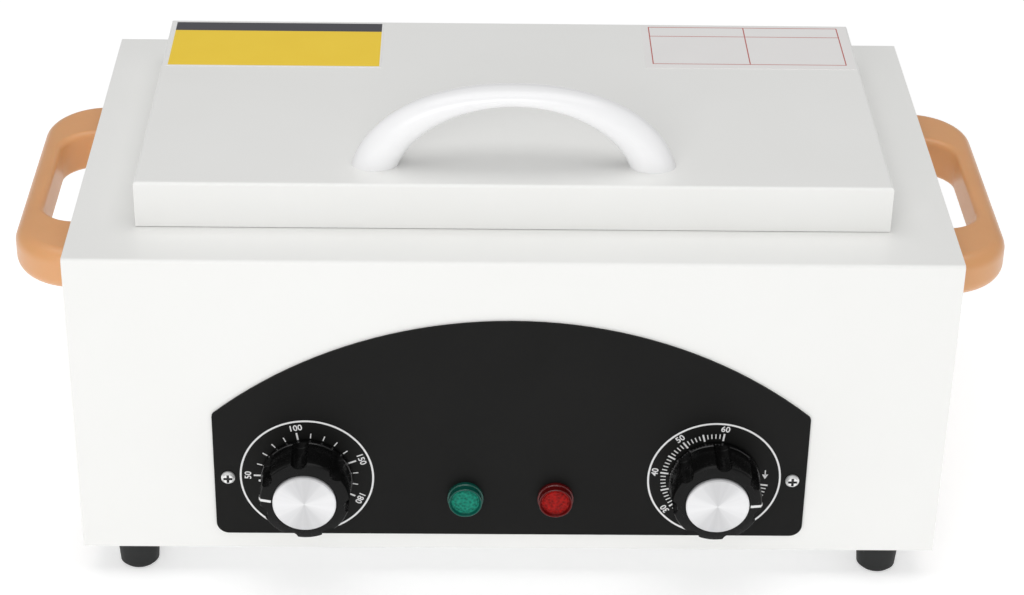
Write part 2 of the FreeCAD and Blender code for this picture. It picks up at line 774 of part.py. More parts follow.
def build_knob(label, x, pointer, lobe):
    """A fluted knob on its shaft, with a disc cap; one lobe stands at the lobe angle."""
    back = s.knob_gap
    front = s.knob_gap + s.knob_length - s.cap_seat
    rim = front - s.knob_slope
    inner = s.knob_radius - s.knob_wall - s.knob_flute_depth
    floor = s.knob_length - s.knob_wall
    body = doc.addObject("PartDesign::Body", label + "_knob")
    sketch = new_sketch(body, "XZ_Plane")
    bore = s.shaft_radius + s.running_gap
    draw_outline(sketch, [
        (bore, back + s.knob_hub_back), (s.knob_hub_radius, back + s.knob_hub_back),
        (s.knob_hub_radius, floor), (inner, floor), (inner, back),
        (s.knob_radius - s.knob_rim, back), (s.knob_radius, back + s.knob_rim),
        (s.knob_radius, rim - s.knob_rim), (s.knob_radius - s.knob_rim / 2, rim),
        (s.knob_face_radius, front), (s.cap_radius + s.running_gap, front),
        (s.cap_radius + s.running_gap, front - s.cap_seat), (bore, front - s.cap_seat)])
    turn(body, sketch)
    flute = new_sketch(body, "XY_Plane")
    centre = s.knob_radius + s.knob_flute_radius - s.knob_flute_depth
    draw_circle(flute, centre, 0, s.knob_flute_radius)
    first = pocket(body, flute, s.knob_length * 2, True)
    pattern = body.newObject("PartDesign::PolarPattern", label + "_flutes")
    pattern.Originals = [first]
    pattern.Axis = (flute, ["N_Axis"])
    pattern.Angle = 360.0
    bind(pattern, Occurrences=s.knob_flute_count)
    body.Tip = pattern
    skirt = new_sketch(body, "XZ_Plane")
    skirt_top = back + s.knob_skirt_height
    draw_outline(skirt, [
        (inner, back), (s.knob_skirt_radius - s.knob_skirt_edge, back),
        (s.knob_skirt_radius, back + s.knob_skirt_edge), (s.knob_skirt_radius, skirt_top - s.knob_skirt_edge),
        (s.knob_skirt_radius - s.knob_skirt_edge, skirt_top), (inner, skirt_top)])
    turn(body, skirt)
    half_lobe = 180 / s.knob_flute_count.value
    body.Placement = FreeCAD.Placement(FreeCAD.Vector(), facing_front(lobe + half_lobe))
    place(body, x, panel_front, dial_z)
    piece(label + "_knob", body)
    cap = doc.addObject("PartDesign::Body", label + "_cap")
    disc = new_sketch(cap, "XZ_Plane")
    draw_outline(disc, [
        (0, front - s.cap_seat), (s.cap_radius, front - s.cap_seat),
        (s.cap_radius, s.cap_front - s.cap_edge), (s.cap_radius - s.cap_edge, s.cap_front),
        (0, s.cap_front)])
    turn(cap, disc)
    cap.Placement = FreeCAD.Placement(FreeCAD.Vector(), facing_front(pointer))
    place(cap, x, panel_front, dial_z)
    piece(label + "_knob_cap", cap)


def facing_front(angle):
    """Turns a piece modelled upwards to face the front, and then about its own axis."""
    return head_direction("Y", -1) * FreeCAD.Rotation(FreeCAD.Vector(0, 0, 1), angle)


def build_shaft(label, x, inside):
    """The shaft runs from inside its switch, through the bushing, to the knob's floor."""
    tip = panel_front - s.knob_gap - s.knob_length + 2 * s.cap_seat + s.seat_gap
    start = case_front + s.case_wall + inside
    shaft = rod(label + "_shaft", s.shaft_radius, start - tip, (x, tip, dial_z), "Y")
    piece(label + "_shaft", shaft)


def build_switch_front(label, x, solids):
    """A threaded bushing through the case, added to a switch housing, and its nut."""
    start = case_front - s.bushing_reach
    bushing = rod(label + "_bushing", s.bushing_radius,
                  s.bushing_reach + s.case_wall + s.overrun, (x, start, dial_z), "Y")
    length = s.bushing_reach + s.case_wall + s.overrun + s.timer_depth / 2
    bore = rod(label + "_bushing_bore", s.shaft_radius + s.running_gap, length,
               (x, start - s.overrun, dial_z), "Y")
    housing = cut(label + "_body", fuse(label + "_housing", solids + [bushing]), [bore])
    nut_start = case_front - s.bushing_nut_height
    blank = hexagon(label + "_nut_blank", s.bushing_nut_radius, s.bushing_nut_height,
                    (x, nut_start, dial_z), "Y")
    nut_bore = rod(label + "_nut_bore", s.bushing_radius + s.running_gap,
                   s.bushing_nut_height + 2 * s.overrun, (x, nut_start - s.overrun, dial_z), "Y")
    return housing, cut(label + "_nut", blank, [nut_bore])


def build_thermostat():
    x = -1 * s.dial_x
    face = case_front + s.case_wall
    half = s.thermostat_width / 2
    low = dial_z - s.thermostat_height / 2
    housing = block("thermostat_box", (x - half, face, low),
                    (x + half, face + s.thermostat_depth, low + s.thermostat_height))
    body, nut = build_switch_front("thermostat", x, [housing])
    piece("thermostat_body", body)
    build_knob("temperature", x, s.temperature_rest.value, s.temperature_lobe.value)
    build_shaft("thermostat", x, s.thermostat_depth / 2)
    return nut


def build_timer():
    x = s.dial_x
    face = case_front + s.case_wall
    half = s.timer_width / 2
    low = dial_z - half
    housing = block("timer_box", (x - half, face, low),
                    (x + half, face + s.timer_depth, low + s.timer_width))
    body, nut = build_switch_front("timer", x, [housing])
    piece("timer_body", body)
    bell = doc.addObject("PartDesign::Body", "timer_bell")
    sketch = new_sketch(bell, "XZ_Plane")
    draw_outline(sketch, [
        (0, 0), (s.shaft_radius, 0), (s.shaft_radius, s.bell_depth - s.bell_wall),
        (s.bell_radius - s.bell_depth / 2 - s.bell_wall, s.bell_depth - s.bell_wall),
        (s.bell_radius - s.bell_wall, s.bell_depth / 2), (s.bell_radius - s.bell_wall, s.overrun),
        (s.bell_radius, s.overrun), (s.bell_radius, s.bell_depth / 2),
        (s.bell_radius - s.bell_depth / 2, s.bell_depth), (0, s.bell_depth)])
    turn(bell, sketch)
    bell.Placement = FreeCAD.Placement(FreeCAD.Vector(), turned_to["Y"])
    place(bell, x, face + s.timer_depth, dial_z)
    piece("timer_bell", bell)
    build_knob("timer", x, s.timer_rest.value, s.timer_lobe.value)
    build_shaft("timer", x, s.timer_depth / 2)
    return nut


def build_dials():
    piece("bushing_nuts", group("bushing_nuts", [build_thermostat(), build_timer()]))


def build_tank():
    """The steel chamber: a deep pan whose flange lies on the case top."""
    half_x = s.tank_width / 2
    half_y = s.tank_depth / 2
    body = doc.addObject("PartDesign::Body", "tank_blank")
    outline = new_sketch(body, "XY_Plane", tank_bottom)
    draw_outline(outline, [(-half_x, tank_y - half_y), (half_x, tank_y - half_y),
                           (half_x, tank_y + half_y), (-half_x, tank_y + half_y)])
    deep = pad(body, outline, s.tank_height + s.tank_wall)
    upright = FreeCAD.Vector(0, 0, 1)
    round_edges(body, deep, s.tank_corner, lambda edge: runs_along(edge, upright))
    flange = new_sketch(body, "XY_Plane", case_top)
    wide_x = half_x + s.tank_flange
    wide_y = half_y + s.tank_flange
    draw_outline(flange, [(-wide_x, tank_y - wide_y), (wide_x, tank_y - wide_y),
                          (wide_x, tank_y + wide_y), (-wide_x, tank_y + wide_y)])
    pad(body, flange, s.tank_wall)
    hollow = doc.addObject("PartDesign::Body", "tank_hollow")
    inner = new_sketch(hollow, "XY_Plane", tank_bottom + s.tank_wall)
    in_x = half_x - s.tank_wall
    in_y = half_y - s.tank_wall
    draw_outline(inner, [(-in_x, tank_y - in_y), (in_x, tank_y - in_y),
                         (in_x, tank_y + in_y), (-in_x, tank_y + in_y)])
    space = pad(hollow, inner, s.tank_height + s.overrun)
    round_edges(hollow, space, s.tank_corner - s.tank_wall, lambda edge: runs_along(edge, upright))
    piece("chamber_tank", cut("chamber_tank", body, [hollow]))


def build_heater():
    """A serpentine tube element under the tank, two strap clamps and its end beads."""
    z = tank_bottom - s.heater_radius - s.seat_gap
    half_run = s.heater_run
    rows = [tank_y + (index - (heater_rows - 1) / 2) * s.heater_pitch for index in range(heater_rows)]
    parts = []
    for index, y in enumerate(rows):
        outermost = y in (rows[0], rows[-1])
        length = 2 * half_run + (s.heater_lead if outermost else 0)
        parts.append(rod("heater_run", s.heater_radius, length, (-half_run, y, z), "X"))
    for index in range(heater_rows - 1):
        bend = doc.addObject("Part::Torus", "heater_bend")
        at_right = index % 2
        start = -90 if at_right else 90
        turned = FreeCAD.Rotation(FreeCAD.Vector(0, 0, 1), start)
        bend.Placement = FreeCAD.Placement(FreeCAD.Vector(), turned)
        bend.Angle3 = 180.0
        bind(bend, Radius1=s.heater_pitch / 2, Radius2=s.heater_radius)
        end = half_run if at_right else -half_run
        place(bend, end, rows[index] + s.heater_pitch / 2, z)
        parts.append(bend)
    piece("heating_element", fuse("heating_element", parts))
    low = z - s.heater_radius - s.seat_gap
    clamps = []
    reach = rows[-1] - tank_y + s.heater_radius + s.clamp_width
    for sign in (-1, 1):
        left = sign * s.clamp_x - s.clamp_width / 2
        right = left + s.clamp_width
        strap = block("clamp_strap", (left, tank_y - reach, low - s.clamp_wall), (right, tank_y + reach, low))
        legs = [block("clamp_leg", (left, y, low - s.clamp_wall), (right, y + s.clamp_wall, tank_bottom))
                for y in (tank_y - reach, tank_y + reach - s.clamp_wall)]
        clamps.append(fuse("clamp", [strap] + legs))
    piece("element_clamps", group("element_clamps", clamps))
    beads = []
    for y in (rows[0], rows[-1]):
        start = half_run + s.heater_lead
        beads.append(rod("bead", s.heater_radius + s.bead_wall, s.bead_length, (start, y, z), "X"))
    piece("element_terminals", group("element_terminals", beads))
    return rows, z


def build_insulation(rows, z):
    """Mineral wool round the tank, and the thin steel shield that carries it."""
    mouth_x = s.tank_width / 2 + s.seat_gap
    mouth_y = s.tank_depth / 2 + s.seat_gap
    wool_top = case_top - s.case_wall - s.seat_gap
    wool = block("wool_blank", (-wool_half_width, tank_y - wool_half_depth, wool_bottom),
                 (wool_half_width, tank_y + wool_half_depth, wool_top))
    room = block("wool_room", (-mouth_x, tank_y - mouth_y, wool_bottom + s.wool_floor),
                 (mouth_x, tank_y + mouth_y, wool_top + s.overrun))
    gap = s.heater_radius + s.seat_gap
    lead_holes = [rod("wool_lead_hole", gap, s.wool_wall + 2 * s.overrun,
                      (mouth_x - s.overrun, y, z), "X") for y in (rows[0], rows[-1])]
    bulb_hole = rod("wool_bulb_hole", s.capillary_radius + s.seat_gap, s.wool_wall + 2 * s.overrun,
                    (-wool_half_width - s.overrun, tank_y, bulb_z), "X")
    piece("tank_insulation", cut("tank_insulation", wool, [room, bulb_hole] + lead_holes))
    out_x = wool_half_width + s.shield_wall
    out_y = wool_half_depth + s.shield_wall
    top = case_top - s.case_wall
    shell = block("shield_blank", (-out_x, tank_y - out_y, wool_bottom - s.shield_wall),
                  (out_x, tank_y + out_y, top))
    ledge = block("shield_ledge", (-out_x - s.shield_flange, tank_y - out_y, top - s.shield_wall),
                  (out_x + s.shield_flange, tank_y + out_y, top))
    inside = block("shield_inside", (-wool_half_width, tank_y - wool_half_depth, wool_bottom),
                   (wool_half_width, tank_y + wool_half_depth, top + s.overrun))
    holes = [rod("shield_lead_hole", gap, s.shield_wall + 2 * s.overrun,
                 (wool_half_width - s.overrun, y, z), "X") for y in (rows[0], rows[-1])]
    holes.append(rod("shield_bulb_hole", s.capillary_radius + s.seat_gap,
                     s.shield_wall + 2 * s.overrun, (-out_x - s.overrun, tank_y, bulb_z), "X"))
    piece("heat_shield", cut("heat_shield", fuse("shield_walls", [shell, ledge]), [inside] + holes))


bulb_z = tank_bottom - s.bulb_radius - s.seat_gap
bulb_start = -s.tank_width / 2 + s.bulb_radius


def tube(name, points, radius, bend):
    """A round tube along straight runs joined by arcs of one radius."""
    corners = [FreeCAD.Vector(*[sized(value).value for value in point]) for point in points]
    edges = []
    last = corners[0]
    for before, corner, after in zip(corners, corners[1:], corners[2:]):
        into = (corner - before).normalize()
        out = (after - corner).normalize()
        half_turn = into.getAngle(out) / 2
        back = bend.value * math.tan(half_turn)
        start = corner - into * back
        end = corner + out * back
        inward = (out - into).normalize()
        middle = corner + inward * (bend.value / math.cos(half_turn) - bend.value)
        edges.append(Part.LineSegment(last, start).toShape())
        edges.append(Part.Arc(start, middle, end).toShape())
        last = end
    edges.append(Part.LineSegment(last, corners[-1]).toShape())
    path = Part.Wire(edges)
    section = Part.Wire(Part.Circle(corners[0], corners[1] - corners[0], radius.value).toShape())
    feature = doc.addObject("Part::Feature", name)
    feature.Shape = path.makePipeShell([section], True, False)
    return feature


def build_sensor():
    """The thermostat's bulb lies under the tank, and its capillary leads to the housing."""
    bulb = rod("sensor_bulb", s.bulb_radius, s.bulb_length, (bulb_start, tank_y, bulb_z), "X")
    piece("sensor_bulb", bulb)
    outside = -wool_half_width - s.shield_wall - 2 * s.shield_flange
    back_y = case_front + s.case_wall + s.thermostat_depth
    x = -1 * s.dial_x - s.thermostat_width / 4
    turn_y = back_y + 2 * s.shield_flange
    bend = 6 * s.capillary_radius
    points = [(x, back_y, dial_z), (x, turn_y, dial_z), (outside, turn_y, dial_z),
              (outside, tank_y, dial_z), (outside, tank_y, bulb_z), (bulb_start, tank_y, bulb_z)]
    piece("capillary_tube", tube("capillary_tube", points, s.capillary_radius, bend))
    low = bulb_z - s.bulb_radius - s.seat_gap - s.clamp_wall
    clips = []
    for share in clip_shares:
        left = bulb_start + s.bulb_length * share - s.clamp_width / 2
        right = left + s.clamp_width
        half = s.bulb_radius + s.seat_gap + s.clamp_wall
        whole = block("clip_blank", (left, tank_y - half, low), (right, tank_y + half, tank_bottom))
        room = block("clip_room", (left - s.overrun, tank_y - half + s.clamp_wall, low + s.clamp_wall),
                     (right + s.overrun, tank_y + half - s.clamp_wall, tank_bottom + s.overrun))
        clips.append(cut("bulb_clip", whole, [room]))
    piece("bulb_clips", group("bulb_clips", clips))


def hole_count(half_side):
    """How many tray holes fit between the margins of one side."""
    return int((half_side - s.tray_hole_margin).value * 2 / s.tray_hole_pitch.value) + 1


def build_tray():
    """The loose perforated tray that stands in the tank on four short feet."""
    half_x = s.tank_width / 2 - s.tank_wall - s.tray_gap
    half_y = s.tank_depth / 2 - s.tank_wall - s.tray_gap
    floor = tank_bottom + s.tank_wall + s.tray_foot_height
    top = floor + s.tray_height
    blank = block("tray_blank", (-half_x, tank_y - half_y, floor), (half_x, tank_y + half_y, top))
    inside = block("tray_inside",
                   (s.tray_wall - half_x, tank_y - half_y + s.tray_wall, floor + s.tray_wall),
                   (half_x - s.tray_wall, tank_y + half_y - s.tray_wall, top + s.overrun))
    slot_low = top - s.tray_slot_drop - s.tray_slot_height
    slot = block("tray_slot", (-half_x - s.overrun, tank_y - s.tray_slot_width / 2, slot_low),
                 (half_x + s.overrun, tank_y + s.tray_slot_width / 2, slot_low + s.tray_slot_height))
    cuts = [inside, slot]
    columns = hole_count(half_x)
    rows = hole_count(half_y)
    for column in range(columns):
        for row in range(rows):
            x = (column - (columns - 1) / 2) * s.tray_hole_pitch
            y = tank_y + (row - (rows - 1) / 2) * s.tray_hole_pitch
            cuts.append(rod("tray_hole", s.tray_hole_radius, s.tray_wall + 2 * s.overrun,
                            (x, y, floor - s.overrun)))
    feet = [rod("tray_foot", s.tray_foot_radius, s.tray_foot_height,
                (across * (half_x - 2 * s.tray_foot_radius),
                 tank_y + along * (half_y - 2 * s.tray_foot_radius), floor - s.tray_foot_height))
            for across in (-1, 1) for along in (-1, 1)]
    pan = cut("tray_pan", blank, cuts)
    piece("instrument_tray", fuse("instrument_tray", [pan] + feet))


def build_lid():
    """The lid cover, its steel lining and the wool between them."""
    half = s.lid_width / 2
    body = doc.addObject("PartDesign::Body", "lid_blank")
    outline = new_sketch(body, "XY_Plane", lid_bottom)
    draw_outline(outline, [(-half, lid_front), (half, lid_front), (half, lid_back), (-half, lid_back)])
    shell = pad(body, outline, s.lid_height - s.seat_gap)

    def bent(edge):
        across = runs_along(edge, FreeCAD.Vector(1, 0, 0))
        along = runs_along(edge, FreeCAD.Vector(0, 1, 0))
        return abs(edge.CenterOfMass.z - lid_top.value) < s.edge_match.value and (across or along)

    round_edges(body, shell, s.lid_bend, bent)
    inner = half - s.lid_wall
    room_front = lid_front + s.lid_wall
    room_back = lid_back - s.lid_wall
    room_top = lid_top - s.lid_wall
    hollow = block("lid_hollow", (-inner, room_front, lid_bottom - s.overrun), (inner, room_back, room_top))
    cuts = [hollow]
    for sign in (-1, 1):
        cuts.append(rod("lid_bolt_hole", bolt_hole, s.lid_wall + 2 * s.overrun,
                        (sign * s.arch_half_span, lid_bolt_y, room_top - s.overrun)))
        for offset in (-1, 1):
            cuts.append(rod("lid_rivet_hole", s.rivet_shank + s.hole_gap, s.lid_wall + 2 * s.overrun,
                            (sign * s.hinge_x + offset * s.hinge_width / 3, room_back - s.overrun,
                             lid_rivet_z), "Y"))
    piece("lid_cover", cut("lid_cover", body, cuts))
    liner_low = lid_bottom + s.liner_rise
    flange_top = liner_low + s.liner_flange
    liner = block("liner_blank", (-inner, room_front, liner_low), (inner, room_back, flange_top))
    liner_in = block("liner_inside",
                     (s.liner_wall - inner, room_front + s.liner_wall, liner_low + s.liner_wall),
                     (inner - s.liner_wall, room_back - s.liner_wall, flange_top + s.overrun))
    piece("lid_liner", cut("lid_liner", liner, [liner_in]))
    edge = s.liner_wall + s.seat_gap
    wool = block("lid_wool_blank", (edge - inner, room_front + edge, liner_low + edge),
                 (inner - edge, room_back - edge, room_top - s.seat_gap))
    wells = [rod("lid_wool_well", s.bolt_head_radius + s.seat_gap, s.bolt_head_height + s.overrun,
                 (sign * s.arch_half_span, lid_bolt_y, room_top - s.bolt_head_height - s.seat_gap))
             for sign in (-1, 1)]
    rivet_room = block("lid_wool_notch",
                       (-half, room_back - edge - s.overrun, lid_rivet_z - s.rivet_radius * 2),
                       (half, room_back, lid_top))
    piece("lid_insulation", cut("lid_insulation", wool, wells + [rivet_room]))


lid_rivet_z = lid_bottom + s.hinge_leaf_height * lid_rivet_share


def build_labels():
    """Two thin stickers near the lid's rear edge."""
    for side, x, width, depth in (("left", s.left_label_x, s.left_label_width, s.left_label_depth),
                                  ("right", s.right_label_x, s.right_label_width, s.right_label_depth)):
        back = lid_back - s.label_back_gap - s.lid_bend
        sticker = block("lid_label_" + side, (x - width / 2, back - depth, lid_top),
                        (x + width / 2, back, lid_top + s.label_wall))
        piece("lid_label_" + side, sticker)


def build_arch():
    """The white arched handle: ovals along an arc of an ellipse, thick at its splayed feet."""
    ovals = []
    count = int(s.arch_sections.value)
    start = math.radians(s.arch_start.value)
    first = math.radians(s.arch_start.value - s.arch_sink.value)
    for index in range(count):
        angle = first + (math.pi - 2 * first) * index / (count - 1)
        across = math.cos(angle) / math.cos(start)
        up = (math.sin(angle) - math.sin(start)) / (1 - math.sin(start))
        lean = math.atan2(s.arch_rise.value * math.cos(angle) / (1 - math.sin(start)),
                          -s.arch_half_span.value * math.sin(angle) / math.cos(start))
        growth = abs(across) ** s.arch_taper.value
        thickness = s.arch_top_thickness + (s.arch_foot_thickness - s.arch_top_thickness) * growth
        oval = doc.addObject("Part::Ellipse", "arch_oval")
        upward = FreeCAD.Rotation(FreeCAD.Vector(0, 1, 0), 90 - math.degrees(lean))
        wide_first = thickness.value >= s.arch_width.value
        spin = FreeCAD.Rotation(FreeCAD.Vector(0, 0, 1), 0 if wide_first else 90)
        oval.Placement = FreeCAD.Placement(FreeCAD.Vector(), upward * spin)
        major, minor = (thickness, s.arch_width) if wide_first else (s.arch_width, thickness)
        bind(oval, MajorRadius=major / 2, MinorRadius=minor / 2)
        place(oval, s.arch_half_span * across, lid_bolt_y, lid_top + s.arch_rise * up)
        ovals.append((oval, 0 if wide_first else 3))
    return ovals


def build_lid_handle():
    ovals = build_arch()
    doc.recompute()
    wires = []
    for oval, first_quarter in ovals:
        curve = oval.Shape.Edges[0].Curve
        starts = [(first_quarter + quarter) % 4 * math.pi / 2 for quarter in range(4)]
        wires.append(Part.Wire([Part.Arc(curve, start, start + math.pi / 2).toShape() for start in starts]))
    arch = doc.addObject("Part::Feature", "arch_blank")
    arch.Shape = Part.makeLoft(wires, True, False)
    bores = [rod("arch_bore", s.bolt_radius + s.running_gap, s.arch_bore_depth + s.overrun,
                 (sign * s.arch_half_span, lid_bolt_y, lid_top - s.overrun)) for sign in (-1, 1)]
    below = block("arch_below",
                  (-2 * s.arch_half_span, lid_bolt_y - s.arch_width, lid_top - s.arch_rise),
                  (2 * s.arch_half_span, lid_bolt_y + s.arch_width, lid_top))
    piece("lid_handle", cut("lid_handle", arch, bores + [below]))
    room_top = lid_top - s.lid_wall
    length = s.lid_wall + s.arch_bore_depth - s.seat_gap
    screws = [screw("lid_handle_screw", (sign * s.arch_half_span, lid_bolt_y, room_top), "Z", -1,
                    length, bolt, s.bolt_head_height) for sign in (-1, 1)]
    piece("lid_handle_screws", group("lid_handle_screws", screws))


def knuckle(name, x, length, bore):
    ring = rod(name, s.hinge_radius, length, (x, hinge_y, hinge_z), "X")
    hollow = rod(name + "_bore", bore, length + 2 * s.overrun, (x - s.overrun, hinge_y, hinge_z), "X")
    return ring, hollow


def build_hinge(side, sign):
    """A butt hinge behind the lid: outer knuckles on the case leaf, the middle one on the lid leaf."""
    left = sign * s.hinge_x - s.hinge_width / 2
    third = (s.hinge_width - 2 * s.hinge_gap) / 3
    middle = left + third + s.hinge_gap
    last = middle + third + s.hinge_gap
    right = left + s.hinge_width
    fixed_bore = s.hinge_pin_radius + s.running_gap / 2
    free_bore = s.hinge_pin_radius + s.running_gap
    first_ring, first_bore = knuckle("case_knuckle", left, third, fixed_bore)
    last_ring, last_bore = knuckle("case_knuckle", last, third, fixed_bore)
    leaf_back = hinge_y + s.hinge_leaf_depth
    relief_y = hinge_y + s.hinge_radius + s.hinge_gap
    plate = block("case_leaf", (left, relief_y, case_top), (right, leaf_back, case_top + s.hinge_wall))
    ears = [block("case_ear", (start, hinge_y, case_top), (start + third, relief_y, case_top + s.hinge_wall))
            for start in (left, last)]
    rivet_holes = [rod("leaf_hole", s.rivet_shank + s.hole_gap, s.hinge_wall + 2 * s.overrun,
                       (sign * s.hinge_x + offset * s.hinge_width / 4, hinge_rivet_y, case_top - s.overrun))
                   for offset in (-1, 1)]
    case_leaf = cut("case_leaf_" + side, fuse("case_leaf_blank", [first_ring, last_ring, plate] + ears),
                    [first_bore, last_bore] + rivet_holes)
    piece("case_hinge_leaf_" + side, case_leaf)
    ring, bore = knuckle("lid_knuckle", middle, third, free_bore)
    high = lid_bottom + s.hinge_leaf_height
    upper = block("lid_leaf", (left, lid_back, hinge_z + s.hinge_radius + s.hinge_gap),
                  (right, lid_back + s.hinge_wall, high))
    tongue = block("lid_tongue", (middle, lid_back, hinge_z), (middle + third, lid_back + s.hinge_wall, high))
    holes = [rod("lid_leaf_hole", s.rivet_shank + s.hole_gap, s.hinge_wall + 2 * s.overrun,
                 (sign * s.hinge_x + offset * s.hinge_width / 3, lid_back - s.overrun, lid_rivet_z), "Y")
             for offset in (-1, 1)]
    neck = block("lid_neck", (middle, lid_back, hinge_z), (middle + third, hinge_y, hinge_z + s.hinge_radius))
    lid_leaf = cut("lid_leaf_" + side, fuse("lid_leaf_blank", [ring, upper, tongue, neck]), [bore] + holes)
    piece("lid_hinge_leaf_" + side, lid_leaf)
    pin = rod("hinge_pin_" + side, s.hinge_pin_radius, s.hinge_width, (left, hinge_y, hinge_z), "X")
    piece("hinge_pin_" + side, pin)


def rivet(name, x, y, z, axis, sign, grip):
    """A low round head on each face of the sheets, joined by a shank."""
    profile = doc.addObject("PartDesign::Body", name)
    sketch = new_sketch(profile, "XZ_Plane")
    draw_outline(sketch, [
        (0, -grip - s.rivet_height), (s.rivet_radius, -grip - s.rivet_height), (s.rivet_radius, -grip),
        (s.rivet_shank, -grip), (s.rivet_shank, 0), (s.rivet_radius, 0),
        (s.rivet_radius - s.rivet_height / 2, s.rivet_height), (0, s.rivet_height)])
    turn(profile, sketch)
    profile.Placement = FreeCAD.Placement(FreeCAD.Vector(), head_direction(axis, sign))
    return place(profile, x, y, z)


def build_hinges():
    mirrored((("left", -1), ("right", 1)), build_hinge)
    case_rivets = []
    lid_rivets = []
    for sign in (-1, 1):
        for offset in (-1, 1):
            case_rivets.append(rivet("case_rivet", sign * s.hinge_x + offset * s.hinge_width / 4,
                                     hinge_rivet_y, case_top + s.hinge_wall, "Z", 1,
                                     s.hinge_wall + s.case_wall))
            lid_rivets.append(rivet("lid_rivet", sign * s.hinge_x + offset * s.hinge_width / 3,
                                    lid_back + s.hinge_wall, lid_rivet_z, "Y", 1,
                                    s.hinge_wall + s.lid_wall))
    piece("case_hinge_rivets", group("case_hinge_rivets", case_rivets))
    piece("lid_hinge_rivets", group("lid_hinge_rivets", lid_rivets))


def build_grip(side, sign):
    """A tan D-shaped handle on the case side, hollowed for the fingers."""
    near = sign * case_side
    far = sign * (case_side + s.grip_reach)
    bar = sign * (case_side + s.grip_reach - s.grip_bar)
    low = grip_y - s.grip_length / 2
    high = grip_y + s.grip_length / 2
    body = doc.addObject("PartDesign::Body", "grip_blank_" + side)
    sketch = new_sketch(body, "XY_Plane", case_floor + s.grip_rise)
    corners = [(near, low), (far, low), (far, high), (near, high), (near, high - s.grip_arm),
               (bar, high - s.grip_arm), (bar, low + s.grip_arm), (near, low + s.grip_arm)]
    draw_outline(sketch, corners)
    solid = pad(body, sketch, s.grip_height)

    def upright_at(x, y):
        def test(edge):
            middle = edge.CenterOfMass
            same_x = abs(middle.x - x.value) < s.edge_match.value
            same_y = abs(middle.y - y.value) < s.edge_match.value
            return runs_along(edge, FreeCAD.Vector(0, 0, 1)) and same_x and same_y
        return test

    outer = round_edges(body, solid, s.grip_outer_corner,
                        lambda edge: upright_at(far, low)(edge) or upright_at(far, high)(edge))
    rear = round_edges(body, outer, s.grip_rear_corner, upright_at(bar, high - s.grip_arm))
    front = round_edges(body, rear, s.grip_front_corner, upright_at(bar, low + s.grip_arm))

    def at_level(edge):
        middle = edge.CenterOfMass
        bottom = case_floor.value + s.grip_rise.value
        from_level = min(abs(middle.z - bottom), abs(middle.z - bottom - s.grip_height.value))
        return from_level < s.edge_match.value and abs(middle.x - near.value) > s.edge_match.value

    def round_hole(edge):
        middle = edge.CenterOfMass
        beside = abs(middle.x) < abs(bar.value) + s.edge_match.value
        half_hole = s.grip_length.value / 2 - s.grip_arm.value
        between = abs(middle.y - grip_y.value) < half_hole + s.edge_match.value
        return at_level(edge) and beside and between

    def round_outline(edge):
        return at_level(edge) and not round_hole(edge)

    outline = round_edges(body, front, s.grip_outer_edge, round_outline)
    round_edges(body, outline, s.grip_inner_edge, round_hole)
    bores = []
    for y in grip_arm_rows:
        start = near if sign > 0 else near - s.grip_bore_depth
        bores.append(rod("grip_bore", s.bolt_radius + s.running_gap, s.grip_bore_depth,
                         (start, y, grip_middle), "X"))
    piece("side_handle_" + side, cut("side_handle_" + side, body, bores))


def build_grips():
    mirrored((("left", -1), ("right", 1)), build_grip)
    screws = []
    for sign in (-1, 1):
        for y in grip_arm_rows:
            seat = (sign * (case_side - s.case_wall), y, grip_middle)
            screws.append(screw("grip_screw", seat, "X", -sign, s.case_wall + s.grip_bore_depth - s.seat_gap,
                                bolt, s.bolt_head_height))
    piece("side_handle_screws", group("side_handle_screws", screws))


